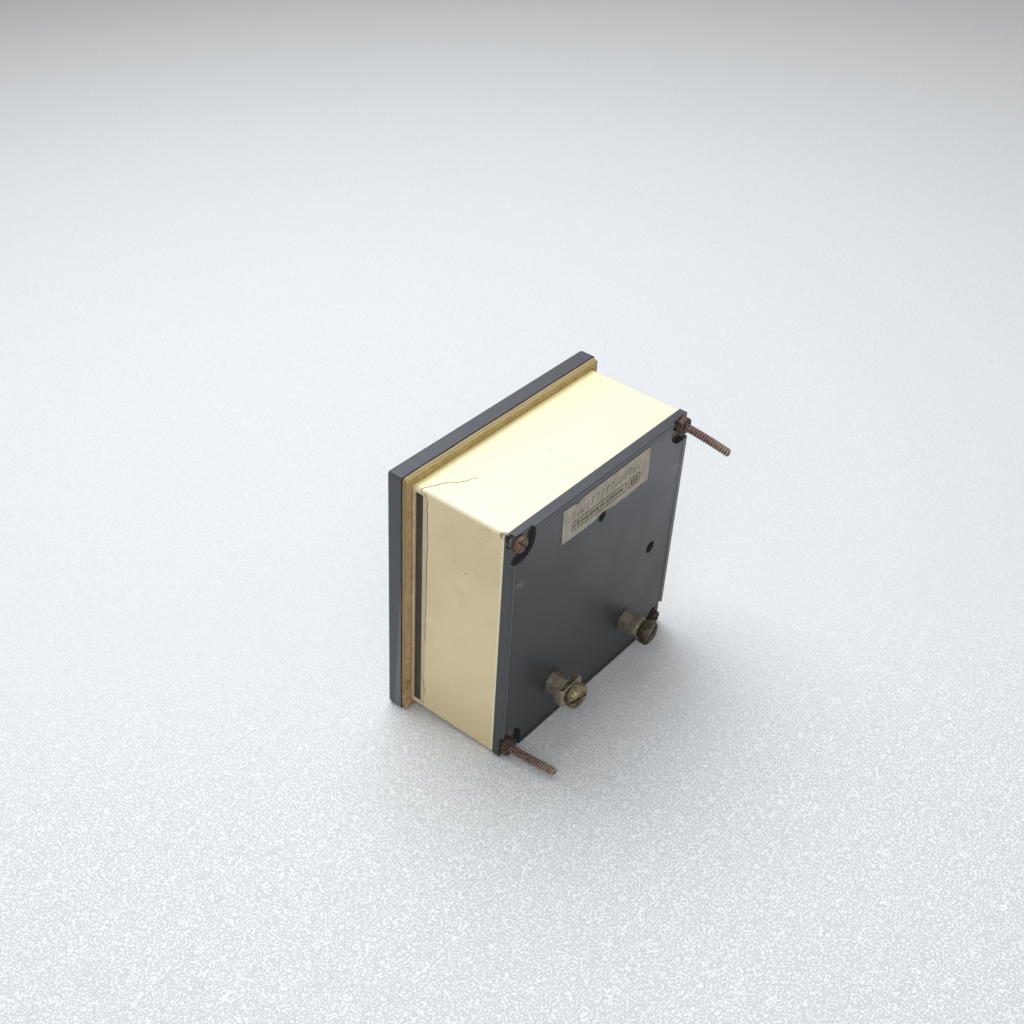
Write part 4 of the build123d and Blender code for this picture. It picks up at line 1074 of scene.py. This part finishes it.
# points, the jitter's amount and seed, width
CRACKS = (
    ((
        (29.0, 13.8), (30.6, 12.7), (32.8, 11.9), (34.7, 10.8), (36.2, 9.4), (37.6, 8.1), (39.8, 7.1),
        (41.9, 6.1), (43.2, 5.4), (44.1, 5.1), (45.0, 5.2), (45.6, 5.8),
    ), 0.1, 3, 0.34),
    (down_side(
        (43.6, 6.3), (43.2, 6.9), (42.5, 7.5), (41.2, 7.8), (39, 7.6), (36, 7.8), (31, 7.75), (28, 7.9),
        (16, 7.8), (4, 7.75), (-8, 7.6), (-15, 7.5),
    ), 0.09, 8, 0.3),
    (down_side(
        (-29, 6.4), (-31.5, 6.5), (-33.6, 7.0), (-35.4, 7.6), (-37.2, 7.9), (-38.6, 7.4),
    ), 0.08, 9, 0.2),
)


def make_cracks(made):
    """The hairline crack: over the top, down the side behind the slot, and once more below."""
    for points, amount, seed, width in CRACKS:
        ribbon(made, jitter(points, amount, seed), width, CRACK_LIFT)


def make_mould_mark(made):
    """Most of a faint ring in the top."""
    x, depth, radius = MOULD_MARK
    arc = [turned(radius, 0, angle) for angle in range(-95, -230, -7)]
    ribbon(made, [(x + a, depth + b) for a, b in arc], 0.5, MOULD_MARK_LIFT)


new_piece("case_hairline_crack", METER, CRACK_DIRT, make_cracks)
new_piece("case_moulding_mark", METER, FINISH["case_plastic"], make_mould_mark)

# Print on the scale plate

SCALE_DEPTH = 3.95
SCALE_BODY = "scale_slide"
SCALE_SWEEP = 90.0
SCALE_START = -SCALE_SWEEP / 2
ARC_RADIUS = 47.0
ARC_WIDTH = 0.3
DIVISIONS = 50
NUMBER_SIZE = 4.8
NUMBER_RADIUS = ARC_RADIUS + 7.2
NUMBER_STEPS = 5
WIDE_NUMBER_MOVE = (-2.6, 0.8)  # three figures are moved in, clear of the bezel


def on_arc(radius, angle):
    """A place on the dial at a radius from the pivot and an angle from upright, clockwise."""
    x, z = turned(0, radius, -angle)
    return x, PIVOT_Z + z


def make_scale_print(made):
    """A scale with an arc, its divisions and longer marks at each fifth and tenth."""
    front, rear = SCALE_DEPTH - 0.03, SCALE_DEPTH + 0.02
    rings = []
    for i in range(61):
        angle = SCALE_START + SCALE_SWEEP * i / 60
        inner, outer = (on_arc(ARC_RADIUS + side * ARC_WIDTH / 2, angle) for side in (-1, 1))
        section = ((inner, front), (outer, front), (outer, rear), (inner, rear))
        rings.append([place(x, depth, z) for (x, z), depth in section])
    join_rings(made, rings)
    for i in range(DIVISIONS + 1):
        angle = SCALE_START + SCALE_SWEEP * i / DIVISIONS
        length, width = (3.4, 0.5) if i % 10 == 0 else (2.6, 0.32) if i % 5 == 0 else (1.7, 0.22)
        x, z = on_arc(ARC_RADIUS + length / 2, angle)
        slab(made, rectangle(x, z, width, length, -angle), front, rear)


def scale_number(value, angle):
    """One printed number outside the arc."""
    name = "scale_number_%d" % value
    curve = bpy.data.curves.new(name, "FONT")
    curve.body = str(value)
    curve.size = mm(NUMBER_SIZE)
    curve.align_x = curve.align_y = "CENTER"
    curve.extrude = mm(0.015)
    text = new_object("text", curve)
    x, z = on_arc(NUMBER_RADIUS, angle)
    if value >= 100:
        x, z = x + WIDE_NUMBER_MOVE[0], z + WIDE_NUMBER_MOVE[1]
    upright = Matrix.Translation(place(x, SCALE_DEPTH - 0.02, z)) @ Matrix.Rotation(math.radians(90), 4, "X")
    mesh = final_mesh(text)
    mesh.transform(upright)
    bpy.data.objects.remove(text)
    number = new_object(name, mesh)
    paint(number, SCALE_INK)
    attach(number, SCALE_BODY)


new_piece("scale_print", SCALE_BODY, SCALE_INK, make_scale_print)
for step in range(NUMBER_STEPS + 1):
    scale_number(100 // NUMBER_STEPS * step, SCALE_START + SCALE_SWEEP / NUMBER_STEPS * step)

# Soft edges on the moulded CAD nodes

EDGE_WIDTHS = {
    "case": 0.12, "rear_cover": 0.15, "bezel": 0.25, "terminal_pillar_left": 0.15,
    "terminal_pillar_right": 0.15, "slot_strip": 0.1,
}
for node, width in EDGE_WIDTHS.items():
    edge = frame["nodes"][node].modifiers.new("worn_edges", "BEVEL")
    edge.width = mm(width)
    edge.segments = 2
    edge.limit_method = "ANGLE"
    edge.angle_limit = math.radians(50)
    edge.harden_normals = True

# Floor and light, with places and sizes in metres

FLOOR_SLOPE = (CENTRE_Z - COVER_HALF) / REAR_DEPTH
FLOOR_HALF = 4.0
SKY_STRENGTH = 0.42
# name, place, aim, size, power, tint and spread in degrees
LIGHTS = (
    ("key", (-0.17, -0.43, 0.9), (0, 0, 0.03), 0.8, 5.55, "#f3f8ff", 128),
    ("fill", (0.85, 0.5, 0.9), (0, 0, 0.04), 0.9, 5.3, "#f0f5ff", 180),
)


def foam_floor():
    """White packing foam: pale and matt, with a fine grain of cells. It is pressed smooth on one side
    and open, with a stronger grain, on the other."""
    material, tree, where = new_material("white_foam_floor", Roughness=0.75)
    cells = patches(tree, where, 0.62, 0.36, 0.66, detail=1)
    across = add_node(
        tree, "VectorMath", {0: where, 1: (1, 1, 0)}, operation="DOT_PRODUCT"
    ).outputs["Value"]
    opened = share(tree, (across, mm(-60), mm(110), 0.25, 1.0))
    between = add_node(tree, "Math", {0: 1.0, 1: cells}, operation="SUBTRACT").outputs[0]
    raised = share(tree, cells, opened)
    colour = coat(tree, "#d2d4d5", ("#eceeef", raised), ("#adb0b1", between, opened, 0.3))
    return dress(material, colour, (raised, 0.14))


def make_floor():
    """A wide flat floor. The meter leans back on its cover's lower edge, so the floor is tilted under
    it by that lean: it touches the bezel's rear edge and the cover."""
    mesh = bpy.data.meshes.new("floor")
    corners = [(a * FLOOR_HALF, b * FLOOR_HALF) for a, b in SQUARE]
    mesh.from_pydata([(x, y, (y - mm(PANEL_Y)) * FLOOR_SLOPE) for x, y in corners], [], [range(4)])
    floor = new_object("floor", mesh)
    paint(floor, foam_floor())


def soft_light(name, at, aim, size, power, tint, spread):
    """A square soft box at a place, aimed at another."""
    data = bpy.data.lights.new(name, "AREA")
    data.shape = "SQUARE"
    data.size = size
    data.energy = power
    data.spread = math.radians(spread)
    data.color = linear(tint)[:3]
    light = new_object(name, data)
    toward = Vector(aim) - Vector(at)
    light.matrix_world = Matrix.Translation(at) @ toward.to_track_quat("-Z", "Y").to_matrix().to_4x4()


def make_light():
    """An even sky, a key light from the front and above, and a fill light from the right and behind."""
    world = bpy.data.worlds.new("studio")
    bpy.context.scene.world = world
    world.use_nodes = True
    sky = world.node_tree.nodes["Background"]
    sky.inputs[0].default_value = linear("#fcf8f2")
    sky.inputs[1].default_value = SKY_STRENGTH
    for light in LIGHTS:
        soft_light(*light)


make_floor()
make_light()
bpy.context.scene.view_settings.view_transform = "Standard"
